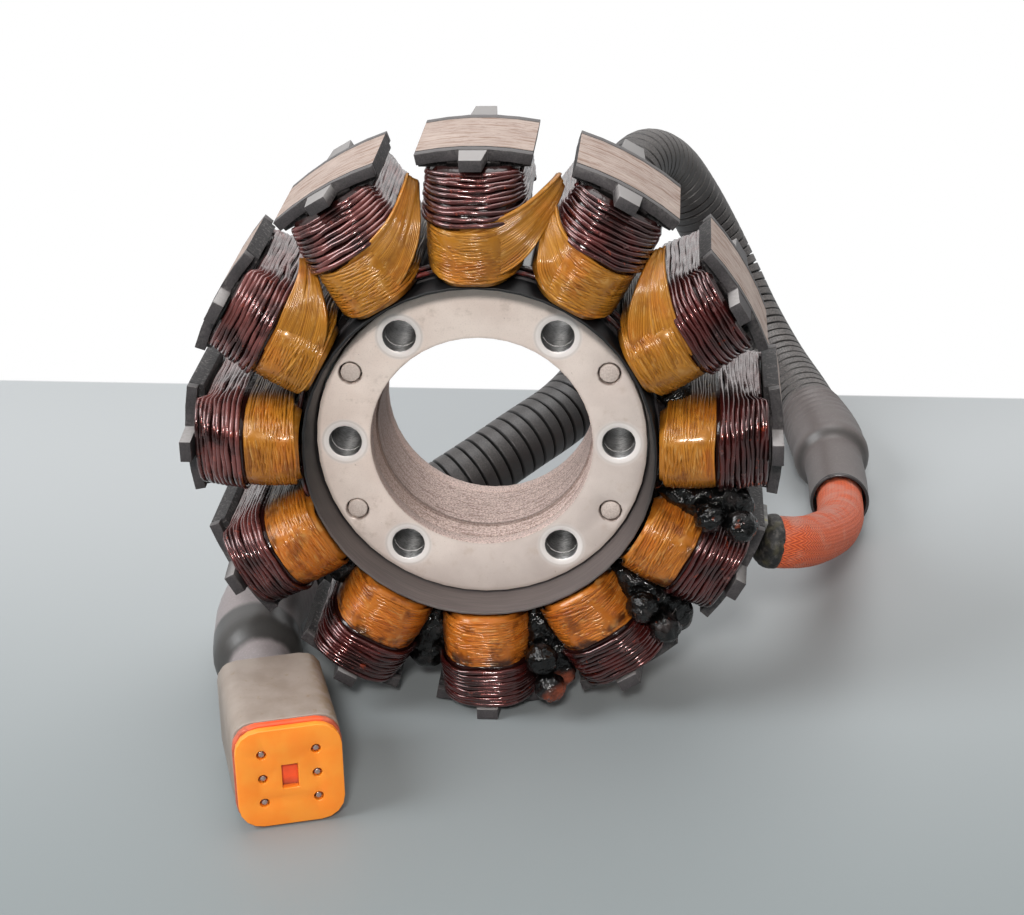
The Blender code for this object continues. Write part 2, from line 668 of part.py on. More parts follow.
def lead(route):
    tube("heat_sleeve", route, 0.0, SLEEVE_LENGTH, SLEEVE_DIAMETER, "orange_sleeve")
    mouth = SLEEVE_LENGTH - SLEEVE_BOOT_MOUTH_DEPTH
    boot_end = mouth + SLEEVE_BOOT_LENGTH
    neck = SLEEVE_BOOT_NECK_DIAMETER / 2
    hollow = SLEEVE_DIAMETER / 2 + 2 * SEAT_GAP
    outside = boot_profile(mouth, mouth + SLEEVE_BOOT_NECK_LENGTH, boot_end, neck, SLEEVE_BOOT_DIAMETER / 2)
    bottom = SLEEVE_LENGTH + SEAT_GAP
    inside = [(bottom, hollow), (bottom - SLEEVE_BOOT_MOUTH_DEPTH / 2, hollow), (mouth, hollow)]
    swept("sleeve_boot", route, inside + outside, "shrink_boot")
    housing_back = route.length
    second_neck = housing_back - SEAT_GAP
    second_end = housing_back - CONNECTOR_BOOT_LENGTH
    outside = boot_profile(0.0, CONNECTOR_BOOT_NECK_LENGTH, CONNECTOR_BOOT_LENGTH,
                           CONNECTOR_BOOT_NECK_DIAMETER / 2, CONNECTOR_BOOT_DIAMETER / 2)
    swept("connector_boot", route, [(second_neck - distance, radius) for distance, radius in outside],
          "shrink_boot")
    tube("conduit", route, boot_end + SEAT_GAP, second_end - 2 * SEAT_GAP, CONDUIT_DIAMETER, "conduit_black")


def rounded_rectangle(width, height, corner, steps=4):
    points = []
    for quarter, (sx, sz) in enumerate(((1, 1), (-1, 1), (-1, -1), (1, -1))):
        for i in range(steps + 1):
            a = pi / 2 * (quarter + i / steps)
            points.append((sx * (width / 2 - corner) + corner * cos(a), sz * (height / 2 - corner) + corner * sin(a)))
    return points


def connector(route):
    """Housing, seal, contact lock and contacts, modelled along -Y and turned to the lead's end."""
    back = route.points[-1]
    centre_height = HOUSING_HEIGHT / 2 + TABLE_GAP
    place = Matrix.Translation((back.x, back.y, centre_height)) @ Matrix.Rotation(CONNECTOR_HEADING, 4, "Z")
    body = rounded_rectangle(HOUSING_WIDTH, HOUSING_HEIGHT, HOUSING_CORNER)
    lock = rounded_rectangle(HOUSING_WIDTH - 2 * WEDGE_INSET, HOUSING_HEIGHT - 2 * WEDGE_INSET, WEDGE_CORNER)
    front = -HOUSING_LENGTH
    add_object("connector_housing", extrude_outlines("connector_housing", [body], 0.0, front),
               "housing_grey", place)
    seal_back = front - SEAT_GAP
    seal_front = seal_back - SEAL_THICKNESS
    seal_outline = rounded_rectangle(HOUSING_WIDTH, HOUSING_HEIGHT, WEDGE_CORNER)
    add_object("connector_seal", extrude_outlines("connector_seal", [seal_outline], seal_back, seal_front),
               "seal_red", place)
    wedge_back = seal_front - SEAT_GAP
    wedge_front = wedge_back - WEDGE_THICKNESS
    wedge = add_object("connector_wedge", extrude_outlines("connector_wedge", [lock], wedge_back, wedge_front),
                       "wedge_orange", place)
    holes = []
    near, far = wedge_back + CUT_OVERRUN, wedge_front - CUT_OVERRUN
    places = [(column * CONTACT_COLUMN_PITCH / 2, row * CONTACT_ROW_PITCH)
              for column in (-1, 1) for row in (1, 0, -1)]
    radius = CONTACT_HOLE_DIAMETER / 2
    for x, z in places:
        holes.append(ring_solid([(0, far), (radius, far), (radius, near), (0, near)], 12, (x, z)))
    half_w, half_h = WINDOW_WIDTH / 2, WINDOW_HEIGHT / 2
    window = [[(x, y, z) for x, z in ((-half_w, -half_h), (half_w, -half_h), (half_w, half_h), (-half_w, half_h))]
              for y in (far, near)]
    holes.append(loop_solid(window, False))
    cutter = add_object("wedge_cutter", mesh_from("wedge_cutter", *joined(holes)), None, place)
    boolean(wedge, cutter, "DIFFERENCE")
    contact_front = wedge_front + CONTACT_RECESS
    contact_back = seal_front - SEAT_GAP / 2
    contact_radius = CONTACT_DIAMETER / 2
    for number, (x, z) in enumerate(places, 1):
        name = f"connector_contact_{number}"
        profile = [(0, contact_front), (contact_radius, contact_front), (contact_radius, contact_back), (0, contact_back)]
        mesh = mesh_from(name, *ring_solid(profile, 10))
        add_object(name, mesh, "contact_metal", place @ Matrix.Translation((x, 0, z)))


def harness_clamp():
    """Clip on pole 5's face that the sleeve starts against."""
    inner = POLE_FACE_RADIUS + SEAT_GAP
    outer = inner + CLAMP_THICKNESS
    steps = 4
    sections = []
    for i in range(steps + 1):
        angle = radians(CLAMP_ANGLES[0] + (CLAMP_ANGLES[1] - CLAMP_ANGLES[0]) * i / steps)
        half = CLAMP_WIDTH / 2
        sections.append([polar(inner, angle, -half), polar(outer, angle, -half),
                         polar(outer, angle, half), polar(inner, angle, half)])
    mesh = mesh_from("harness_clamp", *loop_solid(sections, False))
    add_object("harness_clamp", mesh, "clamp_grey")


def main():
    clear_scene()
    cutter = hub_cutter()
    core_stack(cutter)
    end_ring("front_end_ring", FRONT, cutter)
    end_ring("rear_end_ring", REAR, cutter)
    rivets()
    insulator("front_insulator", FRONT)
    insulator("rear_insulator", REAR)
    windings()
    splices()
    harness_clamp()
    route = Route([Vector(point) * MM for point in LEAD_ROUTE])
    lead(route)
    connector(route)
    print(f"lead {route.length / MM:.1f} mm")


main()
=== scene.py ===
# %% [markdown]
# A used alternator stator with its lead: a laminated ring with twelve wound poles, a steel hub, and an output
# lead that loops behind it in corrugated tube and comes forward again to an orange-faced connector.
# This file dresses the solid model. Each cell adds one piece or one finish.

# %% Load the solid model
from functools import cached_property, reduce
from math import ceil, cos, hypot, pi, radians, sin

import bmesh
import bpy
from mathutils import Matrix, Vector, noise


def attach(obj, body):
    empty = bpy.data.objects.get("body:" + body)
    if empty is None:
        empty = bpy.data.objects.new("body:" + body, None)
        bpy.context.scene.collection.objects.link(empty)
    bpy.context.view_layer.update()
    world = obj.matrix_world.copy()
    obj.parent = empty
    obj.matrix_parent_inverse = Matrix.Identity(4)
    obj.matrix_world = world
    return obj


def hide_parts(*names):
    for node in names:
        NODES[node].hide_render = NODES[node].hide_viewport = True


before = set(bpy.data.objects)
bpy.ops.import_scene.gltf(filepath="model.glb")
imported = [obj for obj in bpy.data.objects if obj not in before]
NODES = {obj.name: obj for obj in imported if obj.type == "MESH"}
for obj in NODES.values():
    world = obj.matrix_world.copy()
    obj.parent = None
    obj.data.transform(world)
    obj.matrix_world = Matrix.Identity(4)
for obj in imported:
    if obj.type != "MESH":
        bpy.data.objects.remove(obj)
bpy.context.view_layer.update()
MM = 0.001
AXIS_HEIGHT = 58.6 * MM
POLES = range(1, 13)
POLE_PITCH = 2 * pi / len(POLES)

# %% [markdown]
# Node trees are easier to read as sums than as lists of nodes and links. A Value wraps one socket, and
# Python's own operators add the Math nodes. The same class serves materials and Geometry Nodes, because both
# kinds of tree take the same Math nodes.

# %% Node trees written as expressions
def adds(operation, swapped=False):
    """A method that adds one Math node."""
    def method(self, *others):
        return self.tree.math(operation, *((*others, self) if swapped else (self, *others)))
    return method


class Value:
    """One output socket that Python's operators work on."""

    __add__ = __radd__ = adds("ADD")
    __mul__ = __rmul__ = adds("MULTIPLY")
    __sub__, __rsub__ = adds("SUBTRACT"), adds("SUBTRACT", swapped=True)
    __truediv__, __pow__, __abs__ = adds("DIVIDE"), adds("POWER"), adds("ABSOLUTE")
    at_least, at_most = adds("MAXIMUM"), adds("MINIMUM")

    def __init__(self, tree, socket):
        self.tree, self.socket = tree, socket

    def span(self, start, end, low=0.0, high=1.0):
        """Smooth step from low to high while this value goes from start to end."""
        return self.tree.node("ShaderNodeMapRange", {0: self, 1: start, 2: end, 3: low, 4: high},
                              interpolation_type="SMOOTHSTEP")


class Tree:
    """A node tree, and the few calls that fill it."""

    def __init__(self, tree):
        self.tree = tree

    def fill(self, socket, value):
        """Links a Value to an input, or writes a number or a colour into it."""
        if isinstance(value, Value):
            self.tree.links.new(value.socket, socket)
        else:
            socket.default_value = (*value, 1) if socket.type == "RGBA" else value

    def node(self, kind, inputs=None, output=0, **settings):
        made = self.tree.nodes.new(kind)
        for key, value in settings.items():
            setattr(made, key, value)
        for key, value in (inputs or {}).items():
            self.fill(made.inputs[key], value)
        return Value(self, made.outputs[output])

    def math(self, operation, *values):
        return self.node("ShaderNodeMath", dict(enumerate(values)), operation=operation)

    def vector(self, operation, *values, output=0):
        return self.node("ShaderNodeVectorMath", dict(enumerate(values)), output, operation=operation)

    def combine(self, x, y, z):
        return self.node("ShaderNodeCombineXYZ", {0: x, 1: y, 2: z})

    def split(self, vector):
        made = self.node("ShaderNodeSeparateXYZ", {0: vector})
        return [Value(self, socket) for socket in made.socket.node.outputs]

    def noise_at(self, spot, scale, detail=2.0, roughness=0.5, distortion=0.0):
        return self.node("ShaderNodeTexNoise", {"Vector": spot, "Scale": scale, "Detail": detail,
                                                "Roughness": roughness, "Distortion": distortion})


# %% [markdown]
# Every finish is a Principled material on Object coordinates, read in millimetres from the stator's axis.
# Only colour, roughness, metallic, coat and normal change over a surface. The rest are plain numbers on the
# shader itself. A place, a distance or a direction is made the first time that a pattern asks for it.

# %% The class that finishes are written with
class Finish(Tree):
    """A material whose pattern is written as sums."""

    def __init__(self, name, **fixed):
        self.material = bpy.data.materials.new(name)
        self.material.use_nodes = True
        super().__init__(self.material.node_tree)
        self.shader = self.tree.nodes["Principled BSDF"]
        self.set(**fixed)

    @cached_property
    def place(self):
        """Object coordinates in millimetres, measured from the stator's axis."""
        return self.node("ShaderNodeMapping", {
            "Vector": self.node("ShaderNodeTexCoord", output="Object"),
            "Location": (0, 0, -AXIS_HEIGHT / MM), "Scale": (1 / MM, 1 / MM, 1 / MM)})

    @cached_property
    def xyz(self):
        return self.split(self.place)

    @cached_property
    def flat(self):
        """The place without its distance along the axis."""
        return self.combine(self.xyz[0], 0.0, self.xyz[2])

    @cached_property
    def radius(self):
        return self.vector("LENGTH", self.flat, output="Value")

    @cached_property
    def normal(self):
        return self.node("ShaderNodeNewGeometry", output="Normal")

    @cached_property
    def facing(self):
        """How far the surface faces right, back and up."""
        return self.split(self.normal)

    @cached_property
    def along(self):
        """The piece's own map in millimetres: length along it, and distance across or round it."""
        return self.split(self.node("ShaderNodeUVMap", output="UV", uv_map="Along"))

    def away(self, x, z):
        """Distance from a line beside the axis."""
        return self.vector("DISTANCE", self.flat, (x, 0.0, z), output="Value")

    def attribute(self, name):
        return self.node("ShaderNodeAttribute", output="Fac", attribute_name=name)

    def noise(self, *settings):
        return self.noise_at(self.place, *settings)

    def stretched(self, across, along_axis, detail, roughness, shift=0.0):
        """Noise drawn out along the axis or across it."""
        mapped = self.node("ShaderNodeMapping", {"Vector": self.place, "Location": (shift, 0, 0),
                                                 "Scale": (across, along_axis, across)})
        return self.noise_at(mapped, 1.0, detail, roughness)

    def mix(self, low, high, factor):
        """Colour between two colours."""
        return self.node("ShaderNodeMix", {0: factor, 6: low, 7: high}, 2, data_type="RGBA")

    def paint(self, base, *coats):
        """A colour with others laid over it in turn, each as (colour, how much of it shows)."""
        for colour, share in coats:
            base = self.mix(base, colour, share)
        return base

    def colour(self, base, *coats):
        """The whole finish's colour, as paint lays it."""
        self.set(Base_Color=self.paint(base, *coats))

    def set(self, **links):
        for name, value in links.items():
            self.fill(self.shader.inputs[name.replace("_", " ")], value)

    def relief(self, height, distance, strength=1.0):
        """Bump from a height pattern; distance in millimetres."""
        self.set(Normal=self.node("ShaderNodeBump", {"Height": height, "Distance": distance * MM,
                                                     "Strength": strength}))


# %% [markdown]
# The camera stands where the photograph was taken: low over the table, 43 cm in front of the stator, looking
# down at 23 degrees with a slight turn and tilt. It was worked out from the bolt holes, the hub's edges and
# the pole faces, so that the solid model lands on the photograph.

# %% Camera
def put(name, data):
    """A new object in the scene."""
    made = bpy.data.objects.new(name, data)
    bpy.context.scene.collection.objects.link(made)
    return made


def aim_camera(place, yaw, pitch, roll, lens):
    ahead = Vector((sin(yaw) * cos(pitch), cos(yaw) * cos(pitch), -sin(pitch)))
    right = Vector((cos(yaw), -sin(yaw), 0))
    up = right.cross(ahead)
    right, up = right * cos(roll) + up * sin(roll), up * cos(roll) - right * sin(roll)
    data = bpy.data.cameras.new("camera")
    data.sensor_width = 36
    data.lens = lens
    data.clip_start, data.clip_end = 0.01, 20
    camera = put("camera", data)
    turn = Matrix((right, up, -ahead)).transposed().to_4x4()
    camera.matrix_world = Matrix.Translation(place) @ turn
    bpy.context.scene.camera = camera


aim_camera((0.040415, -0.433495, 0.237921), yaw=-0.081984, pitch=0.408536, roll=-0.026065, lens=82.748)
print("camera", tuple(round(v, 3) for v in bpy.context.scene.camera.location))

# %% [markdown]
# Soft daylight comes from the upper left, with a small lamp near the camera that gives the wires their
# highlights. The floor is pale and plain, but painted shade darkens it towards the front. Its far part, past
# the edge of the table in the photograph, shows white to the camera only, so it throws no more light on the
# object.

# %% Lights and floor
TABLE_EDGE, TABLE_SLANT = 160.6, 0.036
LAMP_TARGET = Vector((0.01, 0.02, 0.05))
# Place, size, power and colour
LAMPS = {
    "window": ((-1.0, -0.45, 1.0), 0.8, 15.0, (0.97, 0.985, 1.0)),
    "ceiling": ((0.1, 0.45, 1.5), 1.2, 11.0, (1, 1, 1)),
    "front_lamp": ((0.02, -0.85, 0.6), 0.14, 6.3, (1.0, 0.97, 0.94)),
}


def light_scene():
    for name, (place, size, power, colour) in LAMPS.items():
        data = bpy.data.lights.new(name, "AREA")
        data.shape, data.size, data.energy, data.color = "DISK", size, power, colour
        lamp = put(name, data)
        lamp.location = place
        lamp.rotation_euler = (LAMP_TARGET - Vector(place)).to_track_quat("-Z", "Y").to_euler()
    world = bpy.data.worlds.new("room")
    world.use_nodes = True
    room = Tree(world.node_tree)
    camera_ray, glossy_ray, through_ray = (room.node("ShaderNodeLightPath", output=f"Is {name} Ray")
                                           for name in ("Camera", "Glossy", "Transmission"))
    _, y, z = room.split(room.node("ShaderNodeTexCoord", output="Generated"))
    behind = (y * 0.55 + z * 0.85).span(-0.35, 0.75)
    plain = 0.25 + behind * 0.17
    mirrored = 0.06 + behind * 0.94
    shown = camera_ray.at_least(through_ray)
    strength = shown + (1 - shown) * (glossy_ray * mirrored + (1 - glossy_ray) * plain)
    background = world.node_tree.nodes["Background"]
    room.fill(background.inputs["Color"], (0.99, 0.985, 0.98))
    room.fill(background.inputs["Strength"], strength)
    bpy.context.scene.world = world


def lay_floor():
    mesh = bpy.data.meshes.new("floor")
    mesh.from_pydata([(-4, -4, 0), (4, -4, 0), (4, 4, 0), (-4, 4, 0)], [], [(0, 1, 2, 3)])
    floor = put("floor", mesh)
    look = Finish("floor", Roughness=0.55)
    x, y, _ = look.xyz
    # Painted shade: the floor is darker towards the front.
    look.colour(look.mix((0.185, 0.212, 0.218), (0.4, 0.42, 0.43), y.span(-140.0, 140.0)))
    beyond = (y + x * TABLE_SLANT - TABLE_EDGE).span(-0.6, 0.6)
    seen = look.node("ShaderNodeLightPath", output="Is Camera Ray")
    white = look.node("ShaderNodeEmission", {"Color": (1, 1, 1), "Strength": 1.0})
    surface = Value(look, look.shader.outputs[0])
    shown = look.node("ShaderNodeMixShader", {0: beyond * seen, 1: surface, 2: white})
    look.fill(look.tree.nodes["Material Output"].inputs["Surface"], shown)
    mesh.materials.append(look.material)


light_scene()
lay_floor()
bpy.context.scene.view_settings.view_transform = "Standard"
print("lamps", list(LAMPS))

# %% [markdown]
# A few small helpers make and place every piece. A finished piece sits at the origin with its place in its
# mesh. A copy of a solid starts as loose triangles, so its points are merged first, and a narrow bevel then
# catches the light on its edges as a moulded or ground edge does.

# %% Placing pieces
def add_piece(name, mesh, finish, stands_for=(), smooth=None):
    piece = put(name, mesh)
    mesh.name = name
    if finish:
        mesh.materials.append(finish.material)
    if smooth is not None:
        mesh.shade_smooth()
        mesh.set_sharp_from_angle(angle=radians(smooth))
    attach(piece, "root")
    if stands_for:
        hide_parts(*stands_for)
    return piece


def shares(count):
    """Equal steps from 0 to 1."""
    return [i / count for i in range(count + 1)]


def angles(sides):
    """Equal steps round a circle, without its end."""
    return [2 * pi * k / sides for k in range(sides)]


def mesh_from(vertices, faces, maps=()):
    """A smooth mesh whose faces face outwards; maps gives its corners the map 'Along', in millimetres."""
    mesh = bpy.data.meshes.new("mesh")
    mesh.from_pydata([tuple(v) for v in vertices], [], faces)
    if maps:
        layer = mesh.uv_layers.new(name="Along")
        for polygon, corners in zip(mesh.polygons, maps):
            for loop, corner in zip(polygon.loop_indices, corners):
                layer.data[loop].uv = corner
    bm = bmesh.new()
    bm.from_mesh(mesh)
    bmesh.ops.recalc_face_normals(bm, faces=bm.faces)
    bm.to_mesh(mesh)
    bm.free()
    mesh.shade_smooth()
    return mesh


def tube_faces(rings, sides, first=0):
    """Faces of a tube whose rings of points follow each other, with a cap at each end."""
    faces = []
    for low in range(first, first + (rings - 1) * sides, sides):
        for k in range(sides):
            following = (k + 1) % sides
            faces.append((low + k, low + following, low + sides + following, low + sides + k))
    last = first + (rings - 1) * sides
    return faces + [tuple(range(ring, ring + sides)) for ring in (first, last)]


def plain_mesh(piece):
    """The piece's mesh with its modifiers applied. The piece itself is taken away."""
    graph = bpy.context.evaluated_depsgraph_get()
    graph.update()
    mesh = bpy.data.meshes.new_from_object(piece.evaluated_get(graph))
    bpy.data.objects.remove(piece)
    return mesh


def join_meshes(meshes):
    """One mesh from several, with their maps, materials and smooth faces."""
    objects = [put("part", mesh) for mesh in meshes]
    with bpy.context.temp_override(active_object=objects[0], object=objects[0], selected_objects=objects,
                                   selected_editable_objects=objects):
        bpy.ops.object.join()
    joined = objects[0].data
    bpy.data.objects.remove(objects[0])
    return joined


def solids(nodes):
    """The solids' triangles as one bmesh with merged points."""
    bm = bmesh.new()
    for node in nodes:
        bm.from_mesh(NODES[node].data)
    bmesh.ops.remove_doubles(bm, verts=bm.verts, dist=0.002 * MM)
    return bm


def mesh_of(bm):
    mesh = bpy.data.meshes.new("mesh")
    bm.to_mesh(mesh)
    bm.free()
    return mesh


def bevelled_copy(nodes, width, segments):
    """The solids as one mesh with merged points, flats without cuts, and bevelled edges."""
    bm = solids(nodes)
    bmesh.ops.dissolve_limit(bm, angle_limit=radians(0.3), verts=bm.verts, edges=bm.edges)
    bmesh.ops.triangulate(bm, faces=[face for face in bm.faces if len(face.verts) > 4])
    holder = put("copy", mesh_of(bm))
    bevel = holder.modifiers.new("edge", "BEVEL")
    bevel.width, bevel.segments = width * MM, segments
    bevel.limit_method, bevel.angle_limit = "ANGLE", radians(30)
    bevel.harden_normals = False
    made = plain_mesh(holder)
    made.materials.clear()
    mark_edges(made)
    return made


BLUNT, SHARP = 0.42, 0.72


def mark_edges(mesh):
    """Stores how sharply each point stands out, from 0 to 1, as the attribute 'edge'."""
    bm = bmesh.new()
    bm.from_mesh(mesh)
    brightened = []
    for vert in bm.verts:
        turns = [edge.calc_face_angle_signed(0.0) for edge in vert.link_edges if len(edge.link_faces) == 2]
        brightened.append(min(max((max(turns, default=0.0) - BLUNT) / (SHARP - BLUNT), 0.0), 1.0))
    bm.free()
    mesh.attributes.new("edge", "FLOAT", "POINT").data.foreach_set("value", brightened)


def solid_piece(name, nodes, finish, bevel, smooth, segments=2):
    """A piece that keeps its solids' shape; bevel is the width of its edges in millimetres."""
    return add_piece(name, bevelled_copy(nodes, bevel, segments), finish, nodes, smooth)


# %% [markdown]
# The lead is a free cord, so its route comes before everything that lies on it. These are the route's points
# in the solid model. A Catmull-Rom curve through them gives the centre line, and a frame that turns as little
# as possible is carried along it, so that a pattern on the tube doesn't twist.

# %% The lead's route
LEAD_ROUTE = (
    (56.6, -1.0, 32.0), (60.3, 0.6, 31.0), (64.3, 7.0, 28.2), (68.5, 20.0, 23.3), (72.1, 37.0, 17.0),
    (74.6, 55.0, 11.6), (75.4, 71.0, 8.9), (75.3, 87.0, 8.9), (73.7, 104.0, 9.9), (68.9, 122.0, 12.9),
    (62.7, 137.0, 17.6), (56.4, 148.0, 25.8), (51.3, 154.0, 35.0), (46.0, 156.0, 45.6), (40.4, 154.0, 56.6),
    (34.9, 148.0, 66.2), (29.6, 138.5, 71.4), (25.4, 127.0, 70.4), (22.8, 114.0, 63.2), (21.8, 102.0, 53.0),
    (20.6, 91.0, 43.0), (17.9, 81.0, 35.2), (11.6, 71.0, 30.8), (1.9, 60.5, 27.4), (-9.5, 51.5, 22.4),
    (-23.5, 43.0, 16.2), (-36.4, 35.2, 12.0), (-45.0, 27.0, 10.2), (-49.4, 17.5, 9.5), (-50.4, 7.5, 9.4),
    (-49.3, -2.0, 9.4), (-47.6, -11.0, 9.6), (-44.9, -20.5, 10.0), (-41.4, -32.0, 10.4),
)


class Route:
    """A centre line with a frame that doesn't twist, read by the length along it in millimetres."""

    def __init__(self, points):
        points = [Vector(point) for point in points]
        ends = [points[0] * 2 - points[1], *points, points[-1] * 2 - points[-2]]
        self.points = []
        for p0, p1, p2, p3 in zip(ends, ends[1:], ends[2:], ends[3:]):
            for t in shares(12)[:-1]:
                self.points.append(0.5 * (2 * p1 + (p2 - p0) * t + (2 * p0 - 5 * p1 + 4 * p2 - p3) * t ** 2
                                          + (3 * p1 - p0 - 3 * p2 + p3) * t ** 3))
        self.points.append(points[-1])
        self.marks = [0.0]
        for a, b in zip(self.points, self.points[1:]):
            self.marks.append(self.marks[-1] + (b - a).length)
        self.length = self.marks[-1]
        side = (self.points[1] - self.points[0]).normalized().cross(Vector((0, 0, 1))).normalized()
        self.sides = []
        for i in range(len(self.points)):
            heading = self.heading(i - 1, i + 1)
            side = (side - heading * side.dot(heading)).normalized()
            self.sides.append(side)

    def heading(self, tail, tip):
        """Direction between two of the line's points; numbers past its ends stand for the ends."""
        return (self.points[min(tip, len(self.points) - 1)] - self.points[max(tail, 0)]).normalized()

    def read(self, length):
        """Point, heading, side and up at a length along the line."""
        length = min(max(length, 0.0), self.length)
        i = 0
        while i < len(self.marks) - 2 and self.marks[i + 1] < length:
            i += 1
        share = (length - self.marks[i]) / (self.marks[i + 1] - self.marks[i])
        point = self.points[i].lerp(self.points[i + 1], share)
        heading = self.heading(i - 1, i + 2)
        side = self.sides[i].lerp(self.sides[i + 1], share)
        side = (side - heading * side.dot(heading)).normalized()
        return point, heading, side, side.cross(heading)

    def stretch(self, start, end, step):
        count = max(2, ceil((end - start) / step))
        return [self.read(start + (end - start) * share)[0] * MM for share in shares(count)]


route = Route(LEAD_ROUTE)
print(f"lead {route.length:.1f} mm")

# %% [markdown]
# A tube piece is a row of rings along the route. Its radius may change along the length and round the ring,
# which gives a boot its neck, shoulder and lip. The ring's corners also get a map in millimetres, so that a
# weave can follow the tube.

# %% Tubes along the route
def tube_mesh(stations, sides, radius_at, line=route):
    """Closed tube; stations are (length, radius) in mm and radius_at changes a radius for an angle."""
    vertices = []
    for length, radius in stations:
        point, _, side, up = line.read(length)
        for angle in angles(sides):
            out = side * cos(angle) + up * sin(angle)
            vertices.append((point + out * radius_at(length, angle, radius)) * MM)
    marks = [0.0]
    for (l0, r0), (l1, r1) in zip(stations, stations[1:]):
        marks.append(marks[-1] + hypot(l1 - l0, r1 - r0))
    step = 2 * pi / sides * max(radius for _, radius in stations)
    maps = [((near, i * step), (near, (i + 1) * step), (far, (i + 1) * step), (far, i * step))
            for near, far in zip(marks, marks[1:]) for i in range(sides)]
    maps += [((0.0, 0.0),) * sides] * 2
    return mesh_from(vertices, tube_faces(len(stations), sides), maps)


def even(start, end, step, radius):
    return [(start + (end - start) * share, radius) for share in shares(round((end - start) / step))]


# %% [markdown]
# The sleeve is woven glass yarn coated with orange-red silicone. A herringbone weave shows as slanted rows
# whose direction changes every few yarns. It is a pattern on the tube's own map, read as height and colour.
# Oil darkens it in spots, chalky dust and painted sheen lighten its top, and its cut end at the clamp is grey
# with dirt.

# %% Sleeve finish
def sleeve_finish():
    look = Finish("orange_sleeve", Roughness=0.62, Sheen_Weight=0.05, Sheen_Roughness=0.5)
    along, across, _ = look.along
    slant = abs(look.math("FRACT", across / 1.7) - 0.5) * 1.7
    rows = look.math("SINE", (along + slant * 1.25) * (2 * pi / 0.7))
    wales = look.math("SINE", across * (2 * pi / 0.8))
    weave = rows * 0.36 + wales * 0.12 + 0.5
    cloud, ragged = look.noise(0.22, 3.0), look.noise(0.9, 3.0)
    oil = look.noise(2.4, 2.0).span(0.66, 0.74) * 0.75
    # Chalky dust and a painted sheen lighten what faces up.
    dust_and_sheen_on_top = look.facing[2].span(0.45, 0.95) * cloud.span(0.3, 0.6) * 0.55
    grimy = look.mix((0.045, 0.04, 0.036), (0.15, 0.135, 0.12), ragged.span(0.3, 0.6))
    look.set(Roughness=0.68 - oil * 0.3)
    look.colour(
        look.mix((0.52, 0.06, 0.014), (0.8, 0.15, 0.036), weave.span(0.2, 0.75)),
        ((0.7, 0.27, 0.18), cloud.span(0.52, 0.75) * 0.5), ((0.06, 0.025, 0.02), oil),
        ((0.56, 0.27, 0.21), dust_and_sheen_on_top), (grimy, 1 - (along + (ragged - 0.5) * 2.4).span(1.6, 3.0)))
    look.relief(weave + cloud * 0.3, 0.22)
    return look


# %% The sleeve
SLEEVE_LENGTH, SLEEVE_RADIUS = 86.0, 5.3


def sleeve_radius(length, angle, radius):
    return radius + 0.07 * noise.noise(Vector((length * 0.25, cos(angle) * 1.4, sin(angle) * 1.4)))


sleeve_stations = [(0.02, 3.4), (0.03, 4.6), (0.12, 4.95),
                   *even(0.7, SLEEVE_LENGTH - 0.6, 0.8, SLEEVE_RADIUS), (SLEEVE_LENGTH - 0.05, 4.6)]
sleeve_mesh = tube_mesh(sleeve_stations, 40, sleeve_radius)
sleeve = add_piece("woven_sleeve", sleeve_mesh, sleeve_finish(), ["heat_sleeve"], smooth=50)
print("sleeve", len(sleeve.data.polygons), "faces")

# %% [markdown]
# A heat-shrink boot is drawn down over what it covers, so the tube's rings print through it faintly, and it
# keeps a soft shoulder and a rolled lip. The finish is warm grey and slightly glossy, with dust on top, and
# painted shade darkens the shoulder and the inside of the mouth.

# %% Boot finish
def boot_finish(name, colour, dust, ridge, dark=(0.02, 0.021, 0.019), rim=-9.0):
    """Painted shade darkens the shrunk shoulder between ridge's two lengths, and the mouth as far as rim."""
    look = Finish(name)
    along = look.along[0]
    cloud, fine = look.noise(0.12, 4.0, 0.6), look.noise(1.7, 3.0)
    soft = along + (cloud - 0.5) * 2.0
    begins, ends = (soft.span(edge - 1.2, edge + 1.2) for edge in ridge)
    shoulder = begins * (1 - ends)
    mouth = 1 - along.span(rim - 0.3, rim + 0.2)
    look.set(Roughness=cloud * 0.2 + 0.36 - shoulder * 0.1 - mouth * 0.2)
    look.colour(
        look.mix([c * 0.85 for c in colour], [c * 1.2 for c in colour], cloud),
        # Painted shade darkens the shoulder and the inside of the mouth.
        (dust, fine.span(0.5, 0.75) * 0.3), (dark, shoulder * 0.9), ((0.03, 0.026, 0.026), mouth))
    look.relief(fine * 0.5 + cloud, 0.05, 0.6)
    return look


# %% Boots
RING_PITCH = 2.55
SLEEVE_IN_BOOT, SLEEVE_BOOT_LENGTH, CONNECTOR_BOOT_LENGTH = 8.0, 49.5, 56.0


def ring_print(start, end, depth):
    """Faint rings where a boot lies over the corrugated tube, strongest near its wide end."""
    def radius(length, angle, radius):
        share = min(max((length - start) / (end - start), 0.0), 1.0)
        wave = 0.5 - 0.5 * cos(2 * pi * length / RING_PITCH)
        lump = noise.noise(Vector((length * 0.12, cos(angle) * 1.2, sin(angle) * 1.2)))
        return radius - depth * share * wave + 0.12 * lump
    return radius


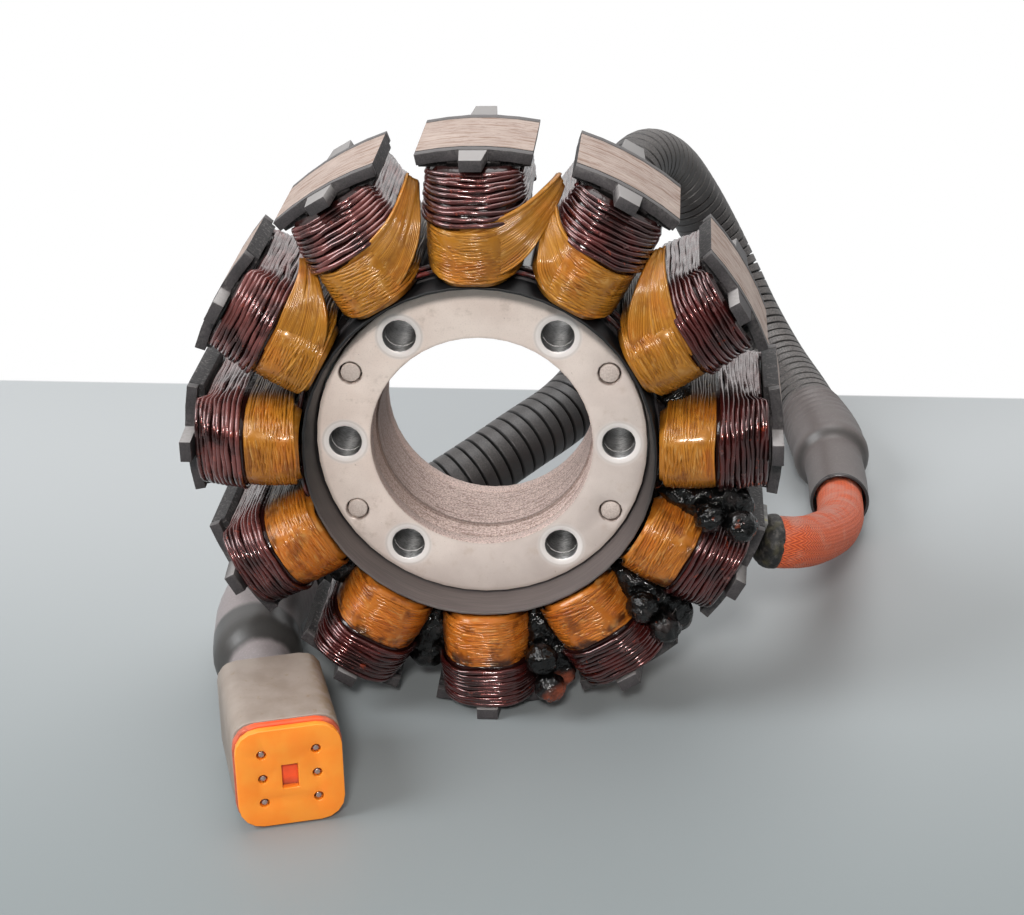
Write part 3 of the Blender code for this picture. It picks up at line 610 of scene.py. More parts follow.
def sleeve_boot_piece():
    mouth = SLEEVE_LENGTH - SLEEVE_IN_BOOT
    end = mouth + SLEEVE_BOOT_LENGTH
    lip = ((8.4, 5.9), (4.0, 5.95), (0.6, 6.0), (0.05, 6.2), (0.02, 6.5), (0.3, 6.82))
    neck = tuple((d, 6.84 + 0.004 * d) for d in (1, 3, 6, 9, 12, 15, 18, 20, 21.5, 22.6))
    ridge = ((23.4, 7.2), (24.1, 7.9), (24.9, 8.6), (25.9, 8.98), (27.2, 9.08), (28.6, 9.0), (30.0, 8.86),
             (31.4, 8.92), (33.0, 9.0))
    sheath = [(length, 9.0 - 0.95 * ((length - mouth - 33.4) / 15.2) ** 1.5)
              for length, _ in even(mouth + 33.6, end - 0.9, 0.42, 0.0)]
    stations = [(mouth + d, r) for d, r in lip + neck + ridge] + sheath + [(end - 0.4, 7.9), (end - 0.1, 7.7)]
    mesh = tube_mesh(stations, 48, ring_print(mouth + 33.0, mouth + 46.0, 0.4))
    finish = boot_finish("sleeve_boot_grey", (0.095, 0.08, 0.077), (0.19, 0.165, 0.155), (32.2, 34.6),
                         (0.05, 0.045, 0.043), 9.9)
    return add_piece("sleeve_boot_shrunk", mesh, finish, ["sleeve_boot"], smooth=60)


def connector_boot_piece():
    back = route.length - 0.3
    end = back - CONNECTOR_BOOT_LENGTH
    shoulder = ((30.0, 9.15), (27.0, 9.2), (24.0, 9.28), (22.0, 9.28), (20.0, 9.1), (18.4, 8.4), (17.0, 7.4),
                (15.5, 6.6), *((d, 6.3) for d in (14, 12, 9, 6, 3, 0.6)), (0.1, 6.1), (0.05, 5.8))
    stations = [(end + 0.1, 8.6), (end + 0.3, 8.95), *even(end + 0.9, back - 32.0, 0.6, 9.05),
                *((back - d, r) for d, r in shoulder)]
    mesh = tube_mesh(stations, 48, ring_print(back - 30.0, end, 0.1))
    finish = boot_finish("connector_boot_grey", (0.235, 0.205, 0.205), (0.42, 0.37, 0.37), (28.0, 41.5))
    return add_piece("connector_boot_shrunk", mesh, finish, ["connector_boot"], smooth=60)


sleeve_boot = sleeve_boot_piece()
connector_boot = connector_boot_piece()
print("boots", len(sleeve_boot.data.polygons), "and", len(connector_boot.data.polygons), "faces")

# %% [markdown]
# The corrugated tube repeats one ring about a hundred times, and follows a path, which is work for Geometry
# Nodes: the path is read at short steps, each step's radius comes from where it lies in its ring, and a
# circle is drawn along it. The crests are wide and flat, and the grooves are narrow. Behind the bore the tube
# is drawn out a little, so its rings lie further apart there.

# %% Corrugated tube as Geometry Nodes
class Recipe(Tree):
    """A Geometry Nodes tree with named inputs, which recipe["Name"] reads."""

    def __init__(self, name, sizes):
        group = bpy.data.node_groups.new(name, "GeometryNodeTree")
        super().__init__(group)
        for way in ("INPUT", "OUTPUT"):
            group.interface.new_socket(name="Geometry", in_out=way, socket_type="NodeSocketGeometry")
        self.sockets = {}
        for label, value in sizes.items():
            kind = "NodeSocketInt" if isinstance(value, int) else "NodeSocketFloat"
            socket = group.interface.new_socket(name=label, in_out="INPUT", socket_type=kind)
            socket.default_value = value
            self.sockets[label] = socket.identifier
        self.entry = group.nodes.new("NodeGroupInput")
        self.end = group.nodes.new("NodeGroupOutput")

    def __getitem__(self, label):
        return Value(self, self.entry.outputs[label])

    def mark(self, geometry, name, value):
        """Stores a value on every point, for the finish to read."""
        inputs = {"Geometry": geometry, "Name": name, "Value": value}
        return self.node("GeometryNodeStoreNamedAttribute", inputs, data_type="FLOAT", domain="POINT")

    def sweep(self, line, radius, finish, scale=None):
        """Draws a circle along the line, and ends the tree with Realize Instances and Set Material."""
        ring = self.node("GeometryNodeCurvePrimitiveCircle", {"Resolution": self["Sides"], "Radius": radius})
        tube = self.node("GeometryNodeCurveToMesh", {"Curve": line, "Profile Curve": ring, "Fill Caps": True})
        if scale and "Scale" in tube.socket.node.inputs:
            self.fill(tube.socket.node.inputs["Scale"], scale)
        real = self.node("GeometryNodeRealizeInstances", {0: tube})
        shaded = self.node("GeometryNodeSetShadeSmooth", {0: real})
        done = self.node("GeometryNodeSetMaterial", {"Geometry": shaded, "Material": finish.material})
        self.fill(self.end.inputs[0], done)

    def mesh(self, start, sizes):
        """The tree's result on a start curve or mesh, as a plain mesh; sizes sets inputs by their labels."""
        holder = put("start", start)
        modifier = holder.modifiers.new("recipe", "NODES")
        modifier.node_group = self.tree
        for label, value in sizes.items():
            modifier[self.sockets[label]] = value
        return plain_mesh(holder)


def path_curve(points):
    curve = bpy.data.curves.new("path", "CURVE")
    curve.dimensions = "3D"
    spline = curve.splines.new("POLY")
    spline.points.add(len(points) - 1)
    for knot, point in zip(spline.points, points):
        knot.co = (*point, 1)
    return curve


def conduit_finish():
    look = Finish("conduit_black", Roughness=0.4)
    # Painted shade: less dust shows where the tube lies left of x = 18 mm, where it is in shade.
    out_of_shade = look.xyz[0].span(18.0, 40.0) * 0.75 + 0.25
    cloud, dust = look.noise(0.09, 3.0), look.noise(2.8, 3.0, 0.6)
    lies = dust.span(0.3, 0.85) * (0.1 + look.facing[2].span(0.0, 0.9) * 0.8) + cloud.span(0.5, 0.7) * 0.08
    black = look.mix((0.016, 0.015, 0.016), (0.034, 0.031, 0.03), cloud)
    # Painted shade makes the grooves between the crests nearly black.
    look.colour(black, ((0.225, 0.2, 0.188), lies * out_of_shade),
                ((0.004, 0.004, 0.004), 1 - look.attribute("crest")))
    look.set(Roughness=0.34 + dust * 0.2)
    look.relief(dust, 0.03, 0.5)
    return look


def corrugation_recipe(finish):
    recipe = Recipe("corrugated_tube", {
        "Outer radius": 7.5 * MM, "Groove depth": 1.05 * MM, "Ring pitch": RING_PITCH * MM, "Sides": 30,
        "Steps per ring": 18, "Drawn from": 125.0 * MM, "Drawn over": 30.0 * MM, "Drawn by": 0.16})
    pitch, over = recipe["Ring pitch"], recipe["Drawn over"]
    path, step = recipe["Geometry"], pitch / recipe["Steps per ring"]
    fine = recipe.node("GeometryNodeResampleCurve", {"Curve": path, "Length": step}, mode="LENGTH")
    length = recipe.node("GeometryNodeSplineParameter", output="Length")
    past = length - recipe["Drawn from"]
    ramp = past.at_most(over).at_least(0.0)
    drawn = ramp * ramp / (over * 2.0) + (past - over).at_least(0.0)
    turn = recipe.math("FRACT", (length - drawn * recipe["Drawn by"]) / pitch)
    off_groove = abs(turn - 0.5) * 2
    radius = recipe["Outer radius"] - recipe["Groove depth"] * (1 - off_groove.span(0.06, 0.22))
    marked = recipe.mark(fine, "crest", off_groove.span(0.12, 0.27))
    sized = recipe.node("GeometryNodeSetCurveRadius", {"Curve": marked, "Radius": radius})
    recipe.sweep(sized, 1.0, finish, radius)
    return recipe


CONDUIT_START = SLEEVE_LENGTH - SLEEVE_IN_BOOT + SLEEVE_BOOT_LENGTH + 0.3
CONDUIT_END = route.length - CONNECTOR_BOOT_LENGTH - 0.9
conduit_path = path_curve(route.stretch(CONDUIT_START, CONDUIT_END, 1.5))
conduit_mesh = corrugation_recipe(conduit_finish()).mesh(conduit_path, {})
conduit = add_piece("corrugated_conduit", conduit_mesh, None, ["conduit"])
print("conduit", len(conduit.data.polygons), "faces")

# %% [markdown]
# The hub is a thick steel ring, ground flat. Bright seats show where the bolt heads sat, and a thin dark line
# of dirt and painted shade lies round each rivet. The seats are found by the distance to the nearest hole's
# centre. Painted light makes the face lighter to the upper left and darker to the lower right, a painted
# highlight streaks the bolt holes, and painted shade darkens the bore's left side.

# %% Hub finish
BOLT_CIRCLE, BOLT_ANGLES = 26.75, (0, 55.3, 124.7, 180, 235.3, 304.7)
RIVET_CIRCLE, RIVET_ANGLES = 28.9, (30, 150, 210, 330)


def nearest(look, radius, degrees):
    """Distance in millimetres to the nearest of several lines on a circle about the axis."""
    lines = [look.away(radius * cos(radians(turn)), radius * sin(radians(turn))) for turn in degrees]
    return reduce(Value.at_most, lines)


def hole_steel(look, dark, middling):
    """Scratches in the bolt holes, and their bare metal, with a painted highlight as a bright streak on each
    side.
    """
    scratches = look.stretched(1.1, 2.8, 3.0, 0.7)
    # Painted highlight: hole walls turned neither left nor right get a bright streak.
    brightened = 1 - abs(look.facing[0] + 0.12).span(0.05, 0.62)
    metal = look.mix(dark, look.mix(middling, (0.95, 0.94, 0.93), brightened),
                     scratches.span(0.3, 0.62) * 0.6 + brightened * 0.4)
    return scratches, metal


def hub_finish():
    look = Finish("hub_steel")
    x, _, z = look.xyz
    radius = look.radius
    to_bolt = nearest(look, BOLT_CIRCLE, BOLT_ANGLES)
    to_rivet = nearest(look, RIVET_CIRCLE, RIVET_ANGLES)
    cloud, blotch = look.noise(0.09, 4.0, 0.55), look.noise(0.32, 4.0, 0.65)
    grain, speck = look.noise(3.2, 3.0, 0.6), look.noise(1.1, 3.0, 0.7)
    # The two steel tones below are painted light: lighter to the upper left, darker to the lower right.
    darker_tone = look.mix((0.52, 0.445, 0.41), (0.63, 0.55, 0.505), cloud.span(0.3, 0.7))
    lighter_tone = look.mix((0.8, 0.665, 0.59), (0.93, 0.8, 0.72), cloud.span(0.3, 0.7))
    seat = (1 - to_bolt.span(3.9, 5.1)) * (0.55 + blotch * 0.5)
    seat_rim = to_bolt.span(4.1, 4.35) * (1 - to_bolt.span(4.4, 4.8))
    rivet = look.mix((0.47, 0.385, 0.34), (0.64, 0.55, 0.5), grain.span(0.35, 0.65))
    # Dirt and painted shade: a thin dark ring where each rivet meets the face.
    dirt_and_shade_ring = to_rivet.span(1.8, 2.0) * (1 - to_rivet.span(2.2, 2.6))
    # Painted shade: the bore is darker on its left side.
    turned = look.mix(look.mix((0.45, 0.345, 0.305), (0.72, 0.57, 0.52), x.span(-21.0, -7.0)),
                      (0.3, 0.21, 0.18), 1 - grain.span(0.3, 0.62))
    drilled = 1 - to_bolt.span(3.22, 3.3)
    scratches, metal = hole_steel(look, (0.13, 0.125, 0.125), (0.36, 0.355, 0.35))
    look.set(Metallic=0.12 + drilled * 0.45, Roughness=0.46 + grain * 0.14 - seat * 0.1)
    look.colour(
        # Painted light: lighter towards the upper left, darker towards the lower right.
        look.mix(darker_tone, lighter_tone, (z - x).span(-48.0, 48.0)),
        ((0.5, 0.395, 0.33), blotch.span(0.54, 0.74) * 0.5),
        ((0.22, 0.14, 0.1), speck.span(0.7, 0.76) * 0.7),
        ((0.46, 0.39, 0.35), grain.span(0.5, 0.85) * 0.4),
        ((0.8, 0.76, 0.74), seat), ((0.42, 0.36, 0.32), seat_rim * 0.3),
        (rivet, (1 - to_rivet.span(1.9, 2.05)) * 0.95 * (0.55 + grain * 0.6)),
        ((0.16, 0.11, 0.09), dirt_and_shade_ring * look.noise(0.5, 2.0).span(0.3, 0.6) * 0.8),
        ((0.34, 0.27, 0.23), radius.span(31.3, 32.1) * 0.5 + (1 - radius.span(21.7, 22.3)) * 0.3),
        (turned, 1 - radius.span(21.75, 21.85)), (metal, drilled))
    look.relief(grain * 0.6 + blotch * 0.4 + speck.span(0.68, 0.78) * -0.6 + scratches * drilled, 0.035, 0.7)
    return look


# %% Hub rings and rivets
hub_steel = hub_finish()
for side in ("front", "rear"):
    solid_piece(f"{side}_hub_ring", [f"{side}_end_ring"], hub_steel, 0.22, 32)
rivets = solid_piece("rivets", [f"rivet_{n}" for n in (1, 2, 3, 4)], hub_steel, 0.25, 32)
print("rivets", len(rivets.data.polygons), "faces")

# %% [markdown]
# The core is a stack of thin steel sheets. On the pole faces their edges run as fine lines round the axis,
# stained tan and brown by heat and oil. The bore was turned, and is speckled. Painted shade darkens its left
# side, and a painted shadow line runs round it for the shadow of a step.

# %% Core finish
def core_finish():
    look = Finish("lamination_steel", Coat_Roughness=0.06)
    x, y, _ = look.xyz
    radius = look.radius
    outward = look.vector("DOT_PRODUCT", look.normal, look.vector("NORMALIZE", look.flat), output="Value")
    lines = look.stretched(0.14, 2.8, 3.0, 0.65)
    dashes = look.stretched(0.42, 3.0, 3.0, 0.7, 9.0)
    streak = look.stretched(0.12, 0.9, 5.0, 0.65, 4.0)
    turned = look.stretched(0.15, 1.6, 3.0, 0.5, 2.0)
    crust, speckle = look.noise(1.5, 4.0, 0.7), look.noise(2.4, 3.0, 0.7)
    face = look.paint(
        look.mix((0.325, 0.242, 0.205), (0.495, 0.4, 0.35), lines.span(0.3, 0.7)),
        ((0.19, 0.12, 0.085), dashes.span(0.55, 0.66) * 0.8),
        ((0.2, 0.105, 0.065), streak.span(0.51, 0.64) * 0.8),
        ((0.56, 0.465, 0.41), look.noise(0.13, 3.0).span(0.52, 0.74) * 0.4),
        ((0.2, 0.155, 0.13), 0.75 - (1 - abs(y).span(9.2, 9.9)) * 0.75))
    side = look.mix((0.018, 0.016, 0.017), (0.16, 0.145, 0.14), crust.span(0.5, 0.72))
    wall = look.paint(
        look.mix((0.3, 0.205, 0.175), (0.74, 0.6, 0.55), speckle.span(0.35, 0.62)),
        ((0.17, 0.1, 0.075), turned.span(0.52, 0.68) * 0.6),
        # Painted shade on the bore's left side, and a painted shadow line round it for a step's shadow.
        ((0.16, 0.115, 0.095), 0.7 - x.span(-24.0, -8.0) * 0.7),
        ((0.1, 0.06, 0.045), (1 - abs(y + 5.2).span(0.15, 0.7)) * 0.7))
    drilled = 1 - nearest(look, BOLT_CIRCLE, BOLT_ANGLES).span(3.3, 3.5)
    _, metal = hole_steel(look, (0.11, 0.105, 0.105), (0.34, 0.335, 0.33))
    on_face = outward.span(0.9, 0.97)
    inside = 1 - radius.span(23.0, 23.4)
    varnish = radius.span(31.0, 32.0) * (1 - radius.span(55.0, 55.5))
    look.colour(side, (face, on_face), (wall, inside), (metal, drilled), ((0.01, 0.008, 0.008), varnish))
    look.set(Coat_Weight=varnish, Roughness=0.5 + lines * 0.2 - varnish * 0.4 - drilled * 0.2,
             Metallic=(0.15 * on_face + inside * 0.15) * (1 - varnish) + drilled * 0.45)
    look.relief(lines * 0.6 + dashes * -0.5 + speckle * inside + crust * (1 - on_face) * 2.0, 0.05, 0.7)
    return look


# %% Core
core = solid_piece("laminated_core", ["core_stack"], core_finish(), 0.12, 25, segments=1)
print("core", len(core.data.polygons), "faces")

# %% [markdown]
# The insulators are black mouldings that went grey with handling. The bevelled edges are rubbed paler, dust
# lies on what faces up, and varnish has run into the corners near the windings, where the surface is glossy.

# %% Insulator finish
def moulding_finish():
    look = Finish("black_moulding")
    _, y, z = look.xyz
    radius, up = look.radius, look.facing[2]
    cloud, fine, speck = look.noise(0.16, 4.0, 0.6), look.noise(1.3, 4.0, 0.55), look.noise(3.4, 3.0)
    on_tab = abs(y).span(12.3, 12.6) * radius.span(50.0, 52.0)
    collar = radius.span(32.2, 32.4) * (1 - radius.span(34.6, 34.9)) * abs(y).span(13.0, 13.5)
    # Painted light: the black collar is lighter towards the bottom, as lit from above.
    lit = (1 - z.span(-24.0, 0.0)) * (0.35 + look.stretched(0.1, 3.0, 3.0, 0.6) * 0.65)
    wet = (1 - radius.span(55.6, 56.4)) * radius.span(34.6, 35.2) * (0.5 + cloud.span(0.25, 0.5) * 0.5)
    grey = look.mix((0.024, 0.021, 0.022), (0.058, 0.05, 0.052),
                    speck.span(0.35, 0.7) * 0.6 + cloud.span(0.4, 0.65) * 0.4)
    look.set(Roughness=0.5 - wet * 0.42)
    look.colour(
        grey, ((0.3, 0.285, 0.28), up.span(0.45, 0.95) * (0.12 + on_tab * 0.75 + cloud * 0.15)),
        ((0.2, 0.185, 0.175), look.attribute("edge") * fine.span(0.42, 0.62) * 0.4),
        ((0.004, 0.004, 0.005), collar), ((0.19, 0.155, 0.145), collar * lit * 0.85),
        ((0.006, 0.005, 0.005), wet * 0.95))
    look.relief(fine * 0.4 + cloud * wet * 2.0, 0.06, 0.6)
    return look


# %% Insulators
black_moulding = moulding_finish()
for side in ("front", "rear"):
    solid_piece(f"{side}_moulding", [f"{side}_insulator"], black_moulding, 0.16, 35)

# %% [markdown]
# The varnish between the turns is a plain loop inside each winding, so that no gap shows. Its outline is a
# rectangle with round corners, which narrows and draws back as the winding climbs the tooth.

# %% The winding's outline
YOKE_RADIUS, BAND_TO_COIL, SHOE_FLOOR = 36.3, 45.35, 54.6
END_TURN_REACH, COIL_HEAD_REACH, COIL_SLOPE = 22.0, 15.2, 1.4
COIL_FOOT_WIDTH, COIL_HEAD_WIDTH = 20.3, 18.8
BAND_FOOT_WIDTH, BAND_HEAD_WIDTH = 16.4, 18.6
CORNER_ACROSS, CORNER_START = 0.72, 10.5
TOOTH_COVER = (5.3, 11.8)
CLEAR_OF_CORE, CLEAR_OVER = 11.7, 1.2
STRAND_DROP, COIL_RISE = 2.2, 1.4
SAG_FORWARD, SAG_RISE = 3.4, 0.9


def winding_loop(half_width, reach, corner=None):
    """Outline of a winding at one height as (across, along the axis), always with as many points."""
    cross, length = corner or (half_width * CORNER_ACROSS, reach - CORNER_START)
    arcs = []
    for quarter, (sx, sy) in enumerate(((1, 1), (-1, 1), (-1, -1), (1, -1))):
        middle = Vector((sx * (half_width - cross), sy * (reach - length)))
        arcs.append([middle + Vector((cross * cos(a), length * sin(a)))
                     for a in (pi / 2 * (quarter + share) for share in shares(9))])
    points = []
    for arc, following, cuts in zip(arcs, arcs[1:] + arcs[:1], (5, 22, 5, 22)):
        points += arc[:-1] + [arc[-1].lerp(following[0], i / cuts) for i in range(cuts)]
    return points


def coil_ring(share):
    """Height, half width and reach of the outer winding at a share of its height."""
    height = BAND_TO_COIL + 0.15 + (SHOE_FLOOR - BAND_TO_COIL - 0.45) * share
    reach = END_TURN_REACH - (END_TURN_REACH - COIL_HEAD_REACH) * share ** COIL_SLOPE
    return height, (COIL_FOOT_WIDTH + (COIL_HEAD_WIDTH - COIL_FOOT_WIDTH) * share) / 2, reach


def band_ring(share):
    """The same for the inner winding."""
    foot, head = YOKE_RADIUS + 0.6, BAND_TO_COIL - 0.15
    tuck = 0.6 * ((1 - min(share / 0.3, 1.0)) ** 2 + max((share - 0.75) / 0.25, 0.0) ** 2)
    half_width = (BAND_FOOT_WIDTH + (BAND_HEAD_WIDTH - BAND_FOOT_WIDTH) * share) / 2
    return foot + (head - foot) * share, half_width - tuck, END_TURN_REACH - tuck


def filler_mesh(rings, drop, rise):
    """Closed loop from rings of (height, half width, reach), its inside against the tooth's cover.

    Clear of the core's ends its foot hangs lower by drop, and its head stands higher by rise."""
    hole = winding_loop(*TOOTH_COVER, corner=(0.5, 0.5))
    foot, head = rings[0][0], rings[-1][0]
    rows = [(foot, hole), *((ring[0], winding_loop(*ring[1:])) for ring in rings), (head, hole)]
    vertices, faces, count = [], [], len(hole)
    for height, loop in rows:
        share = (height - foot) / (head - foot)
        for x, y in loop:
            clear = min(max((abs(y) - CLEAR_OF_CORE) / CLEAR_OVER, 0.0), 1.0)
            shifted = height + clear * (rise * share ** 2 - drop * (1 - share) ** 2)
            vertices.append((x * MM, y * MM, shifted * MM))
    for r in range(len(rows)):
        low, high = r * count, (r + 1) % len(rows) * count
        faces += [(low + i, low + (i + 1) % count, high + (i + 1) % count, high + i) for i in range(count)]
    return mesh_from(vertices, faces)


# %% [markdown]
# Both windings are wire that climbs round the tooth. Geometry Nodes lay it: a long line of points is bent
# round the winding's outline, one lap for each turn, and the ends of the outline draw back towards the core
# as the wire climbs. A little wander makes the turns press together, cross and part, as hand-fed wire does.
# The tree also stores which lap each point is in, so that the finish can shade one turn differently from the
# next. Every pole gets its own seed.

# %% Winding as Geometry Nodes
def winding_recipe(name, finish):
    recipe = Recipe(name, {
        "Turns": 10.5, "Points": 820, "Wire radius": 0.49 * MM, "Half width": COIL_FOOT_WIDTH / 2 * MM,
        "Head width share": COIL_HEAD_WIDTH / COIL_FOOT_WIDTH,
        "Corner": COIL_FOOT_WIDTH / 2 * CORNER_ACROSS * MM, "Corner start": CORNER_START * MM,
        "Foot reach": END_TURN_REACH * MM, "Head reach": COIL_HEAD_REACH * MM, "Slope": COIL_SLOPE,
        "Foot": (BAND_TO_COIL + 0.15) * MM, "Head": (SHOE_FLOOR - 0.3) * MM, "Drop": 0.0,
        "Rise": COIL_RISE * MM, "Early climb": 0.3, "Bulge": 0.0, "Wander": 0.65 * MM, "Lift": 0.4 * MM,
        "Lap change": 900.0, "Lean": 0.0, "Seed": 1, "Sides": 8})
    thick, start, corner = recipe["Wire radius"], recipe["Corner start"], recipe["Corner"]
    half_width = recipe["Half width"] - thick
    loop = recipe.node("GeometryNodeCurvePrimitiveQuadrilateral", {"Width": half_width * 2,
                                                                   "Height": (start + corner) * 2})
    bend = recipe.node("GeometryNodeFilletCurve", {"Curve": loop, "Radius": corner, "Count": 10}, mode="POLY")
    line = recipe.node("GeometryNodeCurvePrimitiveLine", {"End": (1.0, 0.0, 0.0)})
    count = recipe["Points"]
    points = recipe.node("GeometryNodeResampleCurve", {"Curve": line, "Count": count}, mode="COUNT")
    progress = recipe.node("GeometryNodeInputIndex") / (count - 1.0)
    laps = progress * recipe["Turns"]
    share = progress * (1 + recipe["Early climb"] * (1 - progress))
    lap_share = recipe.math("FRACT", laps)
    spot, tangent = (recipe.node("GeometryNodeSampleCurve", {"Curves": bend, "Factor": lap_share}, output,
                                 mode="FACTOR") for output in ("Position", "Tangent"))
    outward = recipe.vector("NORMALIZE", recipe.vector("CROSS_PRODUCT", tangent, (0.0, 0.0, 1.0)))
    x, y, _ = recipe.split(spot)
    foot_reach, head_reach = recipe["Foot reach"] - thick, recipe["Head reach"] - thick
    reach = foot_reach - (foot_reach - head_reach) * share ** recipe["Slope"]
    past_corner = (abs(y) - start).at_least(0.0)
    stretched = recipe.math("SIGN", y) * (abs(y).at_most(start) + past_corner * (reach - start) / corner)
    narrowed = x * (1 - (1 - recipe["Head width share"]) * share)
    foot, head = recipe["Foot"] + thick, recipe["Head"] - thick
    arch = x / half_width
    clear = ((abs(stretched) - CLEAR_OF_CORE * MM) / (CLEAR_OVER * MM)).span(0.0, 1.0)
    height = foot + (head - foot) * share \
        + clear * (recipe["Rise"] * share * share
                   - recipe["Drop"] * (1 - share) * (1 - share) * (1 - arch * arch * 0.75))
    seed = recipe["Seed"] * 0.137
    field = recipe.combine(x * 150.0, stretched * 90.0, height * recipe["Lap change"] + seed)
    drift = recipe.noise_at(field, 1.0, 1.0) - 0.5
    swell = recipe.noise_at(recipe.vector("ADD", field, (31.0, 17.0, 5.0)), 1.5, 1.0) - 0.5
    fade = share.at_most(1 - share).span(0.0, 0.12, 0.25, 1.0)
    high = height + (drift * 2.0 * recipe["Wander"] + x * recipe["Lean"]) * fade
    rounded = recipe["Bulge"] * (4.0 * share * (1 - share) - 1)
    out = recipe.node("ShaderNodeVectorMath", {0: outward, "Scale": swell * 2.0 * recipe["Lift"] + rounded},
                      operation="SCALE")
    place = recipe.vector("ADD", recipe.combine(narrowed, stretched, high), out)
    laid = recipe.node("GeometryNodeSetPosition", {"Geometry": points, "Position": place})
    recipe.sweep(recipe.mark(laid, "lap", laps + seed), thick, finish)
    return recipe


def wire_finish():
    look = Finish("red_enamel_wire", Coat_Weight=1.0, Coat_Roughness=0.08, Specular_IOR_Level=0.8,
                  Specular_Tint=(1.0, 0.4, 0.38))
    x, _, z = look.xyz
    turn = look.noise_at(look.combine(look.attribute("lap") * 0.9, 0.0, 0.0), 1.0, 1.0)
    cloud, streak, fine = look.noise(0.16, 3.0), look.noise(0.55, 3.0, 0.6), look.noise(3.0, 2.0)
    # Painted light: wires on the upper left poles are lighter red, and dust with a painted sheen greys them
    # there.
    lit_from_left = (1 - x.span(-30.0, 10.0)) * z.span(-35.0, -5.0)
    film = look.noise(0.35, 4.0, 0.65).span(0.6, 0.75) * turn.span(0.4, 0.6)
    deep = look.mix((0.06, 0.008, 0.007), (0.12, 0.018, 0.014), lit_from_left)
    look.set(Roughness=0.2 + film * 0.25 + fine * 0.08)
    look.colour(
        look.mix((0.004, 0.003, 0.003), (0.016, 0.004, 0.004), cloud),
        (deep, cloud.span(0.38, 0.62) * (0.3 + turn * 0.9)),
        ((0.34, 0.045, 0.012), streak.span(0.62, 0.72) * 0.4),
        ((0.36, 0.21, 0.2), film * 0.35 + lit_from_left * cloud.span(0.4, 0.6) * 0.13))
    look.relief(fine * 0.3 + streak, 0.16, 0.8)
    return look


# %% Outer windings
def pole_turn(number):
    """From a pole that points up, to the numbered pole's place, counted clockwise as the front is seen."""
    return Matrix.Translation((0, 0, AXIS_HEIGHT)) @ Matrix.Rotation((number - 1) * POLE_PITCH, 4, "Y")


def wound_piece(name, recipe, filler_rings, filler_look, node, layers, drop=0.0, rise=0.0):
    """One piece for all poles: the wire that the recipe lays in each layer, over a filler inside it.

    filler_rings and layers are functions of the pole's number."""
    meshes = []
    for number in POLES:
        wires = [recipe.mesh(bpy.data.meshes.new("start"), {**sizes, "Seed": number * 37 + layer * 1100})
                 for layer, sizes in enumerate(layers(number))]
        filler = filler_mesh(filler_rings(number), drop, rise)
        filler.materials.append(filler_look.material)
        meshes += [*wires, filler]
        for mesh in (*wires, filler):
            mesh.transform(pole_turn(number))
    return add_piece(name, join_meshes(meshes), None, [f"{node}_{n:02d}" for n in POLES])


def filler_finish():
    """Black varnish between the turns."""
    look = Finish("varnish_black", Roughness=0.16)
    look.colour(look.mix((0.003, 0.002, 0.002), (0.03, 0.006, 0.005), look.noise(0.3, 3.0)))
    look.relief(look.noise(0.8, 3.0), 0.2, 0.6)
    return look


def sag(number):
    """From 0 at the top pole to 1 at the bottom, where the varnished turns have slumped forward."""
    return ((1 - cos((number - 1) * POLE_PITCH)) / 2) ** 0.7


def head_reach(number):
    return COIL_HEAD_REACH + SAG_FORWARD * sag(number)


def coil_filler_rings(number):
    fall = (END_TURN_REACH - head_reach(number)) / (END_TURN_REACH - COIL_HEAD_REACH)
    return [(height, half_width - 1.0, END_TURN_REACH - (END_TURN_REACH - reach) * fall - 1.25)
            for height, half_width, reach in map(coil_ring, shares(8))]


def coil_layers(number):
    return [{"Head reach": head_reach(number) * MM, "Rise": (COIL_RISE + SAG_RISE * sag(number)) * MM}]


coils = wound_piece("enamel_coils", winding_recipe("wire_winding", wire_finish()), coil_filler_rings,
                    filler_finish(), "main_coil", coil_layers, rise=COIL_RISE)
print("coils", len(coils.data.polygons), "faces")

# %% [markdown]
# The inner winding is a bundle of hair-thin wire under thick varnish. The same tree lays it, with thin
# strands and many laps, in two layers that lean opposite ways, so the strands cross as they do in the real
# bundle. A filler under them closes the gaps, and the finish makes each strand a little lighter or darker
# than the next. Beside some poles a fan of strands runs up to the next slot.

# %% Strand finish
def strand_finish():
    look = Finish("amber_strands", Coat_Weight=0.55, Coat_Roughness=0.14, Specular_Tint=(1.0, 0.7, 0.4))
    _, y, z = look.xyz
    radius, lap = look.radius, look.attribute("lap")
    strand = look.noise_at(look.combine(lap * 3.1, 0.0, 0.0), 1.0, 1.0).span(0.32, 0.66)
    stretch = look.noise_at(look.vector("ADD", look.place, look.combine(lap * 5.0, 0.0, 0.0)), 0.35, 2.0)
    cloud, patch = look.noise(0.11, 3.0), look.noise(0.24, 3.0, 0.6)
    low = 1 - z.span(-46.0, 20.0)
    ochre = look.mix((0.245, 0.088, 0.006), (0.43, 0.18, 0.02), strand)
    orange = look.mix((0.3, 0.064, 0.006), (0.54, 0.16, 0.018), strand)
    by_coil = radius.span(42.5, 45.0) * (1 - radius.span(45.3, 45.8))
    look.set(Roughness=0.34)
    look.colour(
        ochre, (orange, (low * 0.9 + cloud.span(0.5, 0.7) * 0.5).at_most(1.0)),
        ((0.12, 0.022, 0.003), patch.span(0.5, 0.66) * (0.35 + low * 0.4)),
        ((0.035, 0.008, 0.004), by_coil * patch.span(0.42, 0.58) * low),
        # Painted shade darkens the strands deep in the slots, between the teeth.
        ((0.03, 0.008, 0.003), 1 - abs(y).span(9.0, 17.0)),
        ((0.62, 0.38, 0.13), stretch.span(0.56, 0.72) * 0.3))
    look.relief(look.noise(1.6, 3.0), 0.08, 0.6)
    return look


